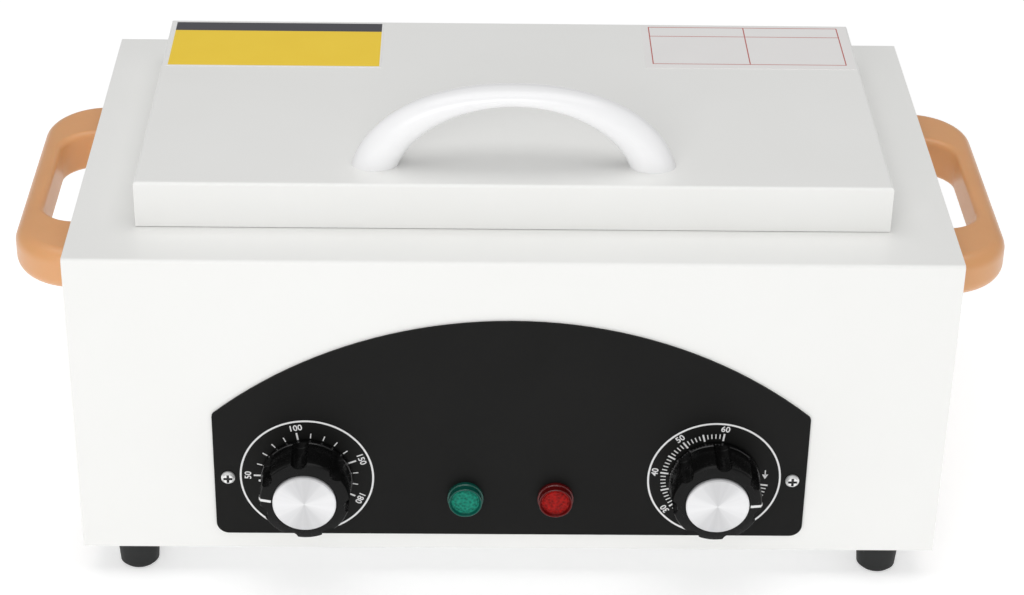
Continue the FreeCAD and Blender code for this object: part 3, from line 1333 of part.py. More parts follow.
def build_inlet():
    """The mains inlet in the rear wall: housing, three pins and two screws."""
    half_w = s.inlet_flange_width / 2
    half_h = s.inlet_flange_height / 2
    flange = block("inlet_flange", (s.inlet_x - half_w, case_back, inlet_z - half_h),
                   (s.inlet_x + half_w, case_back + s.inlet_flange_wall, inlet_z + half_h))
    body_w = s.inlet_body_width / 2
    body_h = s.inlet_body_height / 2
    housing = block("inlet_housing", (s.inlet_x - body_w, case_back - s.inlet_body_depth, inlet_z - body_h),
                    (s.inlet_x + body_w, case_back, inlet_z + body_h))
    mouth_w = s.inlet_mouth_width / 2
    mouth_h = s.inlet_mouth_height / 2
    floor = case_back + s.inlet_flange_wall - s.inlet_mouth_depth
    mouth = block("inlet_mouth", (s.inlet_x - mouth_w, floor, inlet_z - mouth_h),
                  (s.inlet_x + mouth_w, case_back + s.inlet_flange_wall + s.overrun, inlet_z + mouth_h))
    cuts = [mouth]
    pins = []
    tail = case_back - s.inlet_body_depth - s.inlet_tail_length
    for offset in (-1, 0, 1):
        x = s.inlet_x + offset * s.inlet_pin_pitch
        z = inlet_z + (0.5 - abs(offset)) * s.inlet_pin_height / 2
        half_x = s.inlet_pin_width / 2
        half_z = s.inlet_pin_height / 2
        pins.append(block("inlet_pin", (x - half_x, tail, z - half_z),
                          (x + half_x, case_back - s.overrun, z + half_z)))
        cuts.append(block("inlet_pin_slot", (x - half_x, tail, z - half_z),
                          (x + half_x, floor + s.overrun, z + half_z)))
    screws = []
    for offset in (-1, 1):
        x = s.inlet_x + offset * s.inlet_screw_pitch / 2
        start = case_back - s.overrun
        cuts.append(rod("inlet_screw_hole", hole, s.inlet_flange_wall + 2 * s.overrun,
                        (x, start, inlet_z), "Y"))
        cuts.append(rod("inlet_head_well", s.screw_head_radius + s.hole_gap, s.screw_head_height + s.overrun,
                        (x, case_back + s.inlet_flange_wall - s.screw_head_height, inlet_z), "Y"))
        screws.append(screw("inlet_screw",
                            (x, case_back + s.inlet_flange_wall - s.screw_head_height, inlet_z), "Y", 1,
                            s.screw_length, small_screw, s.screw_head_height))
    piece("power_inlet", cut("power_inlet", fuse("inlet_blank", [flange, housing]), cuts))
    piece("inlet_pins", group("inlet_pins", pins))
    piece("inlet_screws", group("inlet_screws", screws))


def well_x(index):
    return s.block_x + (index - (s.block_wells - 1) / 2) * s.block_width / s.block_wells


def build_terminal_block():
    """A row of wire wells standing on the base plate."""
    y = case_back - s.block_back_gap
    floor = case_floor + s.base_wall
    half_w = s.block_width / 2
    blank = block("block_blank", (s.block_x - half_w, y, floor),
                  (s.block_x + half_w, y + s.block_depth, floor + s.block_height))
    cuts = [rod("block_well", s.block_well_radius, s.block_height,
                (well_x(index), y + s.block_depth / 2, floor + s.block_height / 2))
            for index in range(int(s.block_wells.value))]
    piece("terminal_block", cut("terminal_block", blank, cuts))


def build_wires(rows, heater_z):
    """Sheathed wires between the inlet, the block, the heater and the two switches."""
    bend = 4 * s.wire_radius
    step = 2 * bend
    well_y = case_back - s.block_back_gap + s.block_depth / 2
    well_floor = case_floor + s.base_wall + s.block_height / 2
    beside = s.wire_radius + s.running_gap
    tail = case_back - s.inlet_body_depth - s.inlet_tail_length
    over = inlet_z - s.inlet_body_height / 2
    routes = []
    for index in (-1, 0, 1):
        x = s.inlet_x + index * s.inlet_pin_pitch
        z = inlet_z + (0.5 - abs(index)) * s.inlet_pin_height / 2
        last_x = well_x(index + 2)
        last_y = well_y + beside
        routes.append([(x, tail, z), (x, tail - step, z),
                       (last_x, last_y, over), (last_x, last_y, well_floor)])
    outside = wool_half_width + s.shield_wall + 2 * s.shield_flange
    bead_end = s.heater_run + s.heater_lead + s.bead_length
    low = case_floor + s.base_rim + 2 * bend
    timer_back = case_front + s.case_wall + s.timer_depth
    thermostat_back = case_front + s.case_wall + s.thermostat_depth
    beside_bell = s.dial_x + s.timer_width / 2 - 2 * s.wire_radius
    rear = rows[-1]
    routes.append([(bead_end, rear, heater_z), (outside, rear, heater_z), (outside, rear, low),
                   (well_x(0), rear, low), (well_x(0), well_y, low), (well_x(0), well_y, well_floor)])
    routes.append([(bead_end, rows[0], heater_z), (outside, rows[0], heater_z), (outside, rows[0], low),
                   (beside_bell, rows[0], low), (beside_bell, timer_back, low)])
    level = dial_z - s.timer_width / 4
    near_timer = s.dial_x - s.timer_width / 2 + 2 * s.wire_radius
    near_thermostat = s.thermostat_width / 2 - s.dial_x - 2 * s.wire_radius
    far_thermostat = near_thermostat - s.thermostat_width / 2
    routes.append([(near_timer, timer_back, level), (near_timer, timer_back + 2 * step, level),
                   (near_thermostat, timer_back + 2 * step, level),
                   (near_thermostat, thermostat_back, level)])
    turn_y = timer_back + 3 * step
    routes.append([(far_thermostat, thermostat_back, level), (far_thermostat, turn_y, level),
                   (well_x(1), turn_y, level), (well_x(1), well_y - beside, level),
                   (well_x(1), well_y - beside, well_floor)])
    wires = [tube("wire", route, s.wire_radius, bend) for route in routes]
    piece("internal_wires", group("internal_wires", wires))


def build_all():
    build_case()
    build_base()
    build_feet()
    build_panel()
    build_lamps()
    build_dials()
    build_tank()
    rows, z = build_heater()
    build_insulation(rows, z)
    build_sensor()
    build_tray()
    build_lid()
    build_labels()
    build_lid_handle()
    build_hinges()
    build_grips()
    build_inlet()
    build_terminal_block()
    build_wires(rows, z)


def check_and_write():
    """Stops on any failed object, and then writes one file for each sub-part."""
    doc.recompute()
    for thing in doc.Objects:
        if "Invalid" in thing.State or "Error" in thing.State:
            raise RuntimeError("failed object: %s %s" % (thing.Name, thing.State))
    for thing in pieces:
        if thing.Shape.isNull() or not thing.Shape.isValid() or not thing.Shape.Solids:
            raise RuntimeError("bad shape: " + thing.Label)
    for thing in pieces:
        thing.Shape.exportStep("parts/%s.step" % thing.Label)
        box = thing.Shape.BoundBox
        print("%-22s %2d solids %10.1f mm3  x %7.2f %7.2f  y %7.2f %7.2f  z %7.2f %7.2f" % (
            thing.Label, len(thing.Shape.Solids), thing.Shape.Volume, box.XMin, box.XMax,
            box.YMin, box.YMax, box.ZMin, box.ZMax))


build_all()
check_and_write()
print("%d nodes" % len(pieces))
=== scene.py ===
import bpy
import json
import math
from mathutils import Matrix, Vector


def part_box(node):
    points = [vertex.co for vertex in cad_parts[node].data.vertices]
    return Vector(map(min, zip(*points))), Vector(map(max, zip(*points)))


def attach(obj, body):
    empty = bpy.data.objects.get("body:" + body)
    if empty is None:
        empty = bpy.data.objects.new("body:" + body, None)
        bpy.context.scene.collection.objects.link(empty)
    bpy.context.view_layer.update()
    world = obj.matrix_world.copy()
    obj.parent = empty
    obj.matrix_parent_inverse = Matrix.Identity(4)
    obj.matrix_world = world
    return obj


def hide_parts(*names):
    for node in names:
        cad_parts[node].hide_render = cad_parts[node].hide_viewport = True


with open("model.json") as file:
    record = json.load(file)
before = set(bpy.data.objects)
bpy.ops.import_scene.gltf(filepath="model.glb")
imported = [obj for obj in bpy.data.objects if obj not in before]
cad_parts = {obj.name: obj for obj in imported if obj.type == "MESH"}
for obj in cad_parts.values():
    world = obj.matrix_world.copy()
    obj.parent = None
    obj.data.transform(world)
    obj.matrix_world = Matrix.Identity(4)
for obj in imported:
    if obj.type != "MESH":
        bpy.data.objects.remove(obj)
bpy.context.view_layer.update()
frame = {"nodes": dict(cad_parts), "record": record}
nodes = frame["nodes"]
mm = 0.001
print("frame loaded:", len(nodes), "nodes")


# Camera, set to the photograph: a long lens that looks down on the front from a metre away
camera = {
    "place": (-19.5, -1004.7, 673.4),       # mm
    "yaw": 1.179, "pitch": 30.42, "roll": 1.019,      # degrees
    "lens": 91.27, "sensor": 36.0, "near": 0.05, "far": 40.0,
}


def addCamera():
    yaw, pitch, roll = (math.radians(camera[key]) for key in ("yaw", "pitch", "roll"))
    ahead = Vector((math.sin(yaw) * math.cos(pitch), math.cos(yaw) * math.cos(pitch), -math.sin(pitch)))
    level = Vector((math.cos(yaw), -math.sin(yaw), 0))
    above = level.cross(ahead)
    right = level * math.cos(roll) + above * math.sin(roll)
    up = above * math.cos(roll) - level * math.sin(roll)
    data = bpy.data.cameras.new("photoCamera")
    data.lens = camera["lens"]
    data.sensor_width = camera["sensor"]
    data.clip_start, data.clip_end = camera["near"], camera["far"]
    holder = bpy.data.objects.new("photoCamera", data)
    bpy.context.scene.collection.objects.link(holder)
    turned = Matrix((right, up, -ahead)).transposed().to_4x4()
    holder.matrix_world = Matrix.Translation(Vector(camera["place"]) * mm) @ turned
    bpy.context.scene.camera = holder


addCamera()


# Studio: a pale floor, a dim room and soft boxes above and in front
studio = {
    "floorHalf": 9.0, "floorColour": (0.8, 0.8, 0.8, 1), "floorGlow": 0.46, "floorRough": 0.9,
    "room": 0.36,
    "boxes": {
        "overhead": {"place": (0.0, -0.1, 2.1), "aim": (0, 0, 0.1), "wide": 2.4, "deep": 1.6, "power": 19.3},
        "front": {"place": (-0.5, -2.4, 1.0), "aim": (0, 0, 0.1), "wide": 1.8, "deep": 1.2, "power": 23},
    },
}


def lookAt(place, aim):
    return (Vector(aim) - Vector(place)).to_track_quat("-Z", "Y").to_matrix().to_4x4()


def addStudio():
    bpy.context.scene.view_settings.view_transform = "Standard"
    world = bpy.data.worlds.new("studioRoom")
    world.use_nodes = True
    world.node_tree.nodes["Background"].inputs["Color"].default_value = (1, 1, 1, 1)
    world.node_tree.nodes["Background"].inputs["Strength"].default_value = studio["room"]
    bpy.context.scene.world = world
    for name, box in studio["boxes"].items():
        data = bpy.data.lights.new(name, "AREA")
        data.shape = "RECTANGLE"
        data.size, data.size_y = box["wide"], box["deep"]
        data.energy = box["power"]
        lamp = bpy.data.objects.new(name, data)
        bpy.context.scene.collection.objects.link(lamp)
        lamp.matrix_world = Matrix.Translation(Vector(box["place"])) @ lookAt(box["place"], box["aim"])
    half = studio["floorHalf"]
    bpy.ops.mesh.primitive_plane_add(size=2 * half, location=(0, 0, 0))
    floor = bpy.context.object
    floor.name = "studioFloor"
    paper = bpy.data.materials.new("studioPaper")
    paper.use_nodes = True
    shader = paper.node_tree.nodes["Principled BSDF"]
    shader.inputs["Base Color"].default_value = studio["floorColour"]
    shader.inputs["Roughness"].default_value = studio["floorRough"]
    shader.inputs["Specular IOR Level"].default_value = 0
    shader.inputs["Emission Color"].default_value = (1, 1, 1, 1)
    shader.inputs["Emission Strength"].default_value = studio["floorGlow"]
    floor.data.materials.append(paper)


bpy.ops.object.select_all(action="DESELECT")
addStudio()
print("camera and studio ready")


# Shader maths: a Signal is a socket that can be added to, scaled and compared
class Signal:
    def __init__(self, tree, socket):
        self.tree = tree
        self.socket = socket

    def node(self, kind, settings, sockets, output=0):
        made = self.tree.nodes.new("ShaderNode" + kind)
        for name, value in settings.items():
            setattr(made, name, value)
        for name, value in sockets.items():
            if isinstance(value, Signal):
                self.tree.links.new(value.socket, made.inputs[name])
            else:
                made.inputs[name].default_value = value
        return Signal(self.tree, made.outputs[output])

    def sum(self, operation, first, second=0.0):
        return self.node("Math", {"operation": operation}, {0: first, 1: second})

    def __add__(self, other):
        return self.sum("ADD", self, other)

    __radd__ = __add__

    def __sub__(self, other):
        return self.sum("SUBTRACT", self, other)

    def __rsub__(self, other):
        return self.sum("SUBTRACT", other, self)

    def __mul__(self, other):
        return self.sum("MULTIPLY", self, other)

    __rmul__ = __mul__

    def __gt__(self, other):
        return self.sum("GREATER_THAN", self, other)

    def __lt__(self, other):
        return self.sum("LESS_THAN", self, other)


def noise(spot, size, detail=2.0, roughness=0.5):        # size in mm
    return spot.node("TexNoise", {}, {"Vector": spot, "Scale": 1 / (size * mm), "Detail": detail,
                                      "Roughness": roughness})


def stretched(spot, scale):
    return spot.node("Mapping", {}, {"Vector": spot, "Scale": scale})


def along(spot, axis):
    return spot.node("SeparateXYZ", {}, {"Vector": spot}, output=axis)


def blendColours(share, first, second):
    return share.node("Mix", {"data_type": "RGBA"}, {0: share, 6: first, 7: second}, output=2)


def bumped(height, depth, strength=1.0):                  # depth in mm
    return height.node("Bump", {}, {"Height": height, "Distance": depth * mm, "Strength": strength})


def smoothStep(value, low, high):
    return value.node("MapRange", {"interpolation_type": "SMOOTHSTEP"},
                      {"Value": value, "From Min": low, "From Max": high})


def makeMaterial(name, recipe):
    material = bpy.data.materials.new(name)
    material.use_nodes = True
    tree = material.node_tree
    shader = tree.nodes["Principled BSDF"]
    spot = Signal(tree, tree.nodes.new("ShaderNodeTexCoord").outputs["Object"])
    for socket, value in recipe(spot).items():
        if isinstance(value, Signal):
            tree.links.new(value.socket, shader.inputs[socket])
        else:
            shader.inputs[socket].default_value = value
    return material


def sprayedWhite(spot):                                   # powder coat: a fine orange peel, faint cloudiness
    cloud = noise(spot, 60, 3)
    peel = noise(spot, 1.6, 2)
    fine = noise(spot, 0.35, 1)
    return {
        "Base Color": blendColours(cloud, (0.855, 0.855, 0.835, 1), (0.885, 0.885, 0.87, 1)),
        "Roughness": 0.3 + cloud * 0.12 + fine * 0.06,
        "Normal": bumped(peel + fine * 0.3, 0.02),
        "Specular IOR Level": 0.45,
    }


def zincPlate(spot):
    grain = noise(spot, 0.8, 3)
    return {
        "Base Color": blendColours(grain, (0.52, 0.53, 0.54, 1), (0.72, 0.72, 0.7, 1)),
        "Metallic": 1.0, "Roughness": 0.26 + grain * 0.2,
        "Normal": bumped(grain, 0.02),
    }


panelScrew = {"head": 2.9, "arm": (0.5, 0.62), "reach": (1.85, 2.0)}   # mm; the painted shade fades over each pair


def crossHead(spot):                                      # bright panel screws, with painted shade in the recessed slots of each head
    low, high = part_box("panel_screws")
    fromMiddle = high[0] - panelScrew["head"] * mm
    across = spot.sum("ABSOLUTE", spot.sum("ABSOLUTE", along(spot, 0)) - fromMiddle)
    up = spot.sum("ABSOLUTE", along(spot, 2) - (low[2] + high[2]) / 2)
    narrow, wide = spot.sum("MINIMUM", across, up), spot.sum("MAXIMUM", across, up)
    arm, reach = panelScrew["arm"], panelScrew["reach"]
    # painted shade: dark and less metallic where the recessed slots lie
    inArms = 1 - smoothStep(narrow, arm[0] * mm, arm[1] * mm)
    cross = inArms * (1 - smoothStep(wide, reach[0] * mm, reach[1] * mm))
    grain = noise(spot, 0.8, 3)
    plate = blendColours(grain, (0.78, 0.79, 0.79, 1), (0.92, 0.92, 0.91, 1))
    return {
        "Base Color": blendColours(cross, plate, (0.02, 0.02, 0.02, 1)),
        "Metallic": 0.5 - cross * 0.5, "Roughness": 0.24 + grain * 0.12,
        "Normal": bumped(grain, 0.01),
    }


def brushedStainless(spot):
    lines = noise(stretched(spot, (0.02, 1, 1)), 0.5, 2)
    cloud = noise(spot, 40, 2)
    return {
        "Base Color": blendColours(cloud, (0.55, 0.55, 0.54, 1), (0.63, 0.63, 0.62, 1)),
        "Metallic": 1.0, "Roughness": 0.22 + lines * 0.2,
        "Normal": bumped(lines, 0.01),
    }


def satinBlack(spot):
    grain = noise(spot, 0.5, 2)
    cloud = noise(spot, 30, 2)
    return {
        "Base Color": blendColours(cloud, (0.0045, 0.0045, 0.0043, 1), (0.007, 0.007, 0.0066, 1)),
        "Roughness": 0.4 + grain * 0.12,
        "Normal": bumped(grain, 0.008),
        "Specular IOR Level": 0.13,
    }


def glossBlack(spot):                                     # the edge of each knob's skirt is worn to a polish
    grain = noise(spot, 3, 2)
    fromPanel = dials["panelFront"] * mm - along(spot, 1)
    low, high = dials["polished"]
    fade = dials["polishFade"]
    rising = smoothStep(fromPanel, (low - fade) * mm, low * mm)
    falling = smoothStep(fromPanel, high * mm, (high + fade) * mm)
    polish = rising * (1 - falling)
    return {
        "Base Color": blendColours(grain, (0.0025, 0.0025, 0.0025, 1), (0.0045, 0.0045, 0.0045, 1)),
        "Roughness": 0.23 + grain * 0.07,
        "Normal": bumped(grain, 0.008),
        "Coat Weight": polish * 0.9, "Coat Roughness": 0.15,
        "Specular IOR Level": 0.16,
    }


def mattBlack(spot):
    grain = noise(spot, 0.6, 3)
    return {
        "Base Color": blendColours(grain, (0.016, 0.016, 0.017, 1), (0.03, 0.03, 0.03, 1)),
        "Roughness": 0.5 + grain * 0.15,
        "Normal": bumped(grain, 0.02),
    }


def spunAluminium(spot):                                  # turned discs: fine rings round each dial's axis, and painted reflection wedges in the colour
    across = spot.sum("ABSOLUTE", along(spot, 0)) - dials["fromMiddle"] * mm
    up = along(spot, 2) - dials["height"] * mm
    outward = across.sum("SQRT", across * across + up * up)
    turned = across.sum("ARCTAN2", up, across)
    rings = noise(outward.node("CombineXYZ", {}, {0: outward}), 0.16, 2)
    # painted reflection: bright and dark wedges by angle round the axis stand in for the spun metal's
    # highlights
    paintedSheen = across.sum("COSINE", turned * 2) * 0.5 + 0.5
    paintedFans = noise(turned.node("CombineXYZ", {}, {0: turned * 0.0035}), 1.4, 2)
    return {
        "Base Color": blendColours(paintedSheen * 0.55 + paintedFans * 0.45, (0.5, 0.5, 0.51, 1), (0.9, 0.9, 0.91, 1)),
        "Metallic": 0.35, "Roughness": 0.24 + rings * 0.16,
        "Normal": bumped(rings, 0.006),
    }


def lensColour(shade, dark, light):                       # small facets inside a clear tinted bezel; the facets' light and dark colour is painted glints
    def recipe(spot):
        across = spot.sum("ABSOLUTE", along(spot, 0)) - lampShape["fromMiddle"] * mm
        up = along(spot, 2) - lampShape["height"] * mm
        outward = across.sum("SQRT", across * across + up * up)
        facets = spot.node("TexVoronoi", {"feature": "F1"}, {"Vector": spot,
                                                             "Scale": 1 / (lampShape["facet"] * mm)})
        grain = noise(spot, 0.9, 2)
        tint, gloss = lampShape["tintFrom"], lampShape["glossFrom"]
        inBezel = smoothStep(outward, tint[0] * mm, tint[1] * mm)
        onSide = smoothStep(outward, gloss[0] * mm, gloss[1] * mm)
        # painted glints: each facet's colour runs from dark to light, over a real facet bump
        lens = blendColours(facets * 0.9 + grain * 0.5 - 0.12, dark, light)
        return {
            "Base Color": blendColours(inBezel, lens, shade),
            "Roughness": 0.3 + grain * 0.12 - inBezel * 0.2,
            "Normal": bumped(facets * (1 - inBezel), 0.28),
            "Coat Weight": onSide * 0.9,
            "Specular IOR Level": 0.12, "Coat Roughness": 0.05,
        }
    return recipe


def printedInk(dark, light):
    def recipe(spot):
        grain = noise(spot, 0.3, 2)
        return {
            "Base Color": blendColours(grain, dark, light),
            "Roughness": 0.42 + grain * 0.15,
            "Normal": bumped(grain, 0.004),
        }
    return recipe


def mouldedRubber(spot):
    grain = noise(spot, 0.5, 3)
    return {
        "Base Color": blendColours(grain, (0.01, 0.0105, 0.0105, 1), (0.02, 0.021, 0.021, 1)),
        "Roughness": 0.5 + grain * 0.2,
        "Normal": bumped(grain, 0.03),
        "Specular IOR Level": 0.3,
    }


def mouldedTan(spot):
    cloud = noise(spot, 25, 3)
    grain = noise(spot, 0.7, 2)
    return {
        "Base Color": blendColours(cloud, (0.69, 0.335, 0.137, 1), (0.77, 0.385, 0.164, 1)),
        "Roughness": 0.34 + grain * 0.12,
        "Normal": bumped(grain, 0.012),
        "Coat Weight": 0.3 + cloud * 0.1, "Coat Roughness": 0.3,
        "Subsurface Weight": 0.08, "Subsurface Scale": 0.004,
    }


def mouldedWhite(spot):
    cloud = noise(spot, 20, 2)
    grain = noise(spot, 1.2, 2)
    return {
        "Base Color": blendColours(cloud, (0.89, 0.89, 0.9, 1), (0.92, 0.92, 0.925, 1)),
        "Roughness": 0.2 + grain * 0.08,
        "Normal": bumped(grain, 0.008),
    }


def mineralWool(spot):
    tufts = noise(spot, 4, 5, 0.7)
    strands = noise(stretched(spot, (0.2, 1, 1)), 0.6, 4, 0.7)
    return {
        "Base Color": blendColours(tufts, (0.36, 0.32, 0.22, 1), (0.62, 0.57, 0.44, 1)),
        "Roughness": 0.95, "Specular IOR Level": 0.1,
        "Normal": bumped(tufts + strands, 0.8),
    }


def plainMetal(dark, light, rough):
    def recipe(spot):
        cloud = noise(spot, 12, 3)
        return {
            "Base Color": blendColours(cloud, dark, light),
            "Metallic": 1.0, "Roughness": rough + cloud * 0.15,
            "Normal": bumped(noise(spot, 0.6, 2), 0.01),
        }
    return recipe


def yellowSticker(spot):
    grain = noise(spot, 0.4, 2)
    cloud = noise(spot, 15, 2)
    low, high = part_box("lid_label_left")
    fromSides = spot.sum("ABSOLUTE", along(spot, 0) - (low[0] + high[0]) / 2) - (high[0] - low[0]) / 2
    fromEnds = spot.sum("ABSOLUTE", along(spot, 1) - (low[1] + high[1]) / 2) - (high[1] - low[1]) / 2
    border = spot.sum("MAXIMUM", fromSides, fromEnds) > -rules["border"] * mm
    back = along(spot, 1) > rules["band"] * mm
    yellow = blendColours(cloud, (0.94, 0.645, 0.028, 1), (0.98, 0.69, 0.04, 1))
    printed = blendColours(back, yellow, (0.06, 0.06, 0.07, 1))
    return {
        "Base Color": blendColours(border, printed, (0.87, 0.87, 0.86, 1)),
        "Roughness": 0.3 + grain * 0.1,
        "Normal": bumped(grain, 0.01),
    }


def paleSticker(spot):                                    # left plain but for its thin red frame and rules
    grain = noise(spot, 0.4, 2)
    cloud = noise(spot, 18, 2)
    across, deep = along(spot, 0), along(spot, 1)
    fromSides = spot.sum("ABSOLUTE", across - rules["middle"] * mm) - rules["halfWidth"] * mm
    fromEnds = spot.sum("ABSOLUTE", deep - rules["centre"] * mm) - rules["halfDepth"] * mm
    outside = spot.sum("MAXIMUM", fromSides, fromEnds)
    outline = spot.sum("ABSOLUTE", outside) < rules["line"] * mm / 2
    inside = outside < 0.0
    divider = spot.sum("ABSOLUTE", across - rules["divider"] * mm) < rules["line"] * mm / 2
    header = spot.sum("ABSOLUTE", deep - rules["header"] * mm) < rules["line"] * mm / 2
    ruled = spot.sum("MAXIMUM", outline, inside * spot.sum("MAXIMUM", divider, header))
    paper = blendColours(cloud, (0.85, 0.835, 0.825, 1), (0.88, 0.865, 0.855, 1))
    return {
        "Base Color": blendColours(ruled, paper, (0.52, 0.1, 0.085, 1)),
        "Roughness": 0.35 + grain * 0.1,
        "Normal": bumped(grain, 0.01),
    }


def glazedCeramic(spot):
    grain = noise(spot, 1.5, 3)
    return {
        "Base Color": blendColours(grain, (0.72, 0.68, 0.58, 1), (0.82, 0.79, 0.7, 1)),
        "Roughness": 0.3 + grain * 0.2,
        "Normal": bumped(grain, 0.02),
    }


def wireSheath(spot):
    grain = noise(spot, 0.5, 3)
    return {
        "Base Color": blendColours(grain, (0.5, 0.42, 0.28, 1), (0.66, 0.58, 0.42, 1)),
        "Roughness": 0.7 + grain * 0.2,
        "Normal": bumped(grain, 0.08),
    }


dials = {                                                  # mm; the polished edge lies this far off the panel
    "fromMiddle": 86.0, "height": 52.2, "panelFront": -97.5, "polished": (2.6, 3.3), "polishFade": 0.2,
}
lampShape = {                                              # mm
    "fromMiddle": 19.1, "height": 42.4, "flange": 1.9, "step": 0.55, "bezel": 0.75, "edge": 0.45,
    "dip": 1.2, "lensRim": 0.5, "lensStep": 0.25, "dome": 0.35, "domeRings": (0.45, 0.3, 0.15),
    "softEdge": 0.27, "softSteps": 4, "facets": 64, "facet": 1.25,
    "tintFrom": (5.6, 6.1), "glossFrom": (6.72, 6.85),
    "bevelFrom": 50.0, "smoothTo": 30.0,                   # degrees
}
rules = {                                                  # mm; the pale sticker's, then the yellow one's
    "middle": 106.75, "halfWidth": 43.25, "centre": 68.0, "halfDepth": 19.5, "divider": 107.0,
    "header": 77.8, "line": 0.5,
    "border": 0.8, "band": 79.8,
}
finishes = {
    "white_sheet": sprayedWhite, "steel_zinc": zincPlate, "stainless": brushedStainless,
    "black_panel": satinBlack, "black_plastic": glossBlack, "dark_plastic": mattBlack,
    "spun_aluminium": spunAluminium,
    "green_lens": lensColour((0.002, 0.075, 0.055, 1), (0.001, 0.06, 0.042, 1), (0.01, 0.28, 0.19, 1)),
    "red_lens": lensColour((0.1, 0.002, 0.002, 1), (0.09, 0.001, 0.001, 1), (0.4, 0.007, 0.005, 1)),
    "foot_rubber": mouldedRubber, "tan_plastic": mouldedTan, "white_plastic": mouldedWhite,
    "wool": mineralWool,
    "copper": plainMetal((0.55, 0.24, 0.13, 1), (0.72, 0.36, 0.22, 1), 0.25),
    "brass": plainMetal((0.6, 0.42, 0.16, 1), (0.75, 0.55, 0.25, 1), 0.2),
    "yellow_sticker": yellowSticker, "white_sticker": paleSticker, "ceramic": glazedCeramic,
    "wire_sheath": wireSheath,
    "white_ink": printedInk((0.72, 0.72, 0.72, 1), (0.82, 0.82, 0.82, 1)),
}
materials = {slotName: makeMaterial(slotName, recipe) for slotName, recipe in finishes.items()}
for part in frame["record"]["subparts"]:
    holder = nodes[part["node"]]
    holder.data.materials.clear()
    holder.data.materials.append(materials[part["material_slot"]])
nodes["panel_screws"].data.materials[0] = makeMaterial("panel_screw_heads", crossHead)
print("materials on", len(nodes), "nodes")


# Working aids: pieces for the front are modelled lying flat, face up, and stood up when they are done
def freshStart():
    if bpy.context.object and bpy.context.object.mode != "OBJECT":
        bpy.ops.object.mode_set(mode="OBJECT")
    bpy.ops.object.select_all(action="DESELECT")


def selectOnly(*pieces):
    freshStart()
    for piece in pieces:
        piece.select_set(True)
    bpy.context.view_layer.objects.active = pieces[0]


def pickFaces(piece, wanted):
    bpy.ops.object.mode_set(mode="EDIT")
    bpy.ops.mesh.select_mode(type="FACE")
    bpy.ops.mesh.select_all(action="DESELECT")
    bpy.ops.object.mode_set(mode="OBJECT")
    for face in piece.data.polygons:
        face.select = wanted(face)
    bpy.ops.object.mode_set(mode="EDIT")


def facesUp(face):
    return face.normal.z > 0.9


def facesDown(face):
    return face.normal.z < -0.9


def pickEdges(piece, wanted):
    bpy.ops.object.mode_set(mode="EDIT")
    bpy.ops.mesh.select_mode(type="EDGE")
    bpy.ops.mesh.select_all(action="DESELECT")
    bpy.ops.object.mode_set(mode="OBJECT")
    places = [vertex.co for vertex in piece.data.vertices]
    for edge in piece.data.edges:
        edge.select = wanted(places[edge.vertices[0]], places[edge.vertices[1]])
    bpy.ops.object.mode_set(mode="EDIT")


def lift(height):                                          # extrudes the selection by a height in mm
    bpy.ops.mesh.extrude_region_move(TRANSFORM_OT_translate={"value": (0, 0, height * mm)})


def ringStep(inward, rise):                                # insets the selected face, then moves it, in mm
    bpy.ops.mesh.inset(thickness=inward * mm, depth=0)
    bpy.ops.transform.translate(value=(0, 0, rise * mm))


def applied(piece, kind, **values):
    selectOnly(piece)
    added = piece.modifiers.new(kind.lower(), kind)
    for name, value in values.items():
        setattr(added, name, value)
    bpy.ops.object.modifier_apply(modifier=added.name)


def twin(piece):
    copied = piece.copy()
    copied.data = piece.data.copy()
    bpy.context.scene.collection.objects.link(copied)
    return copied


def joined(pieces):
    selectOnly(*pieces)
    if len(pieces) > 1:
        bpy.ops.object.join()
    return bpy.context.object


def settle(piece, name, finish, body):
    selectOnly(piece)
    bpy.ops.object.transform_apply(location=True, rotation=True, scale=True)
    piece.name = piece.data.name = name
    piece.data.materials.clear()
    piece.data.materials.append(materials[finish])
    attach(piece, body)
    return piece


def standUp(piece, across, front, height):                 # a flat piece turns to face the front
    piece.rotation_euler = (math.radians(90), 0, 0)
    piece.location = (across * mm, front * mm, height * mm)


# Dial scales: a printed ring, ticks and plain numbers round each knob
scale = {
    "ink": 0.08, "ringRadius": 27.9, "ringLine": 0.8, "ringFacets": 160,
    "tickLine": 0.45, "boldLine": 0.75,
    "numberHeight": 3.9, "numberWeight": 0.06, "numberCurve": 4, "dotRadius": 0.6, "dotCorners": 20,
    "ringGap": (-110.0, -64.0),                            # degrees, behind the knob
}
heatScale = {                                              # degrees Celsius, evenly from 50
    "atFifty": 178.5, "perTen": 15.69, "first": 50, "last": 180, "bold": (50, 100, 150, 180),
    "tick": (19.5, 21.8), "boldTick": (18.9, 22.4), "numbers": (50, 100, 150, 180), "numberRadius": 24.7,
    "dot": (20.0, 186.0),
}
timeScale = {                                              # minutes, clockwise to 60
    "atSixty": 81.9, "perMinute": 4.51, "tick": (20.5, 22.7), "boldTick": (19.6, 23.1),
    "numbers": (30, 40, 50, 60), "numberRadius": 25.3, "arrow": (21.6, 4.7), "arrowSize": 1.5,
    "arrowStem": 2.85,
}


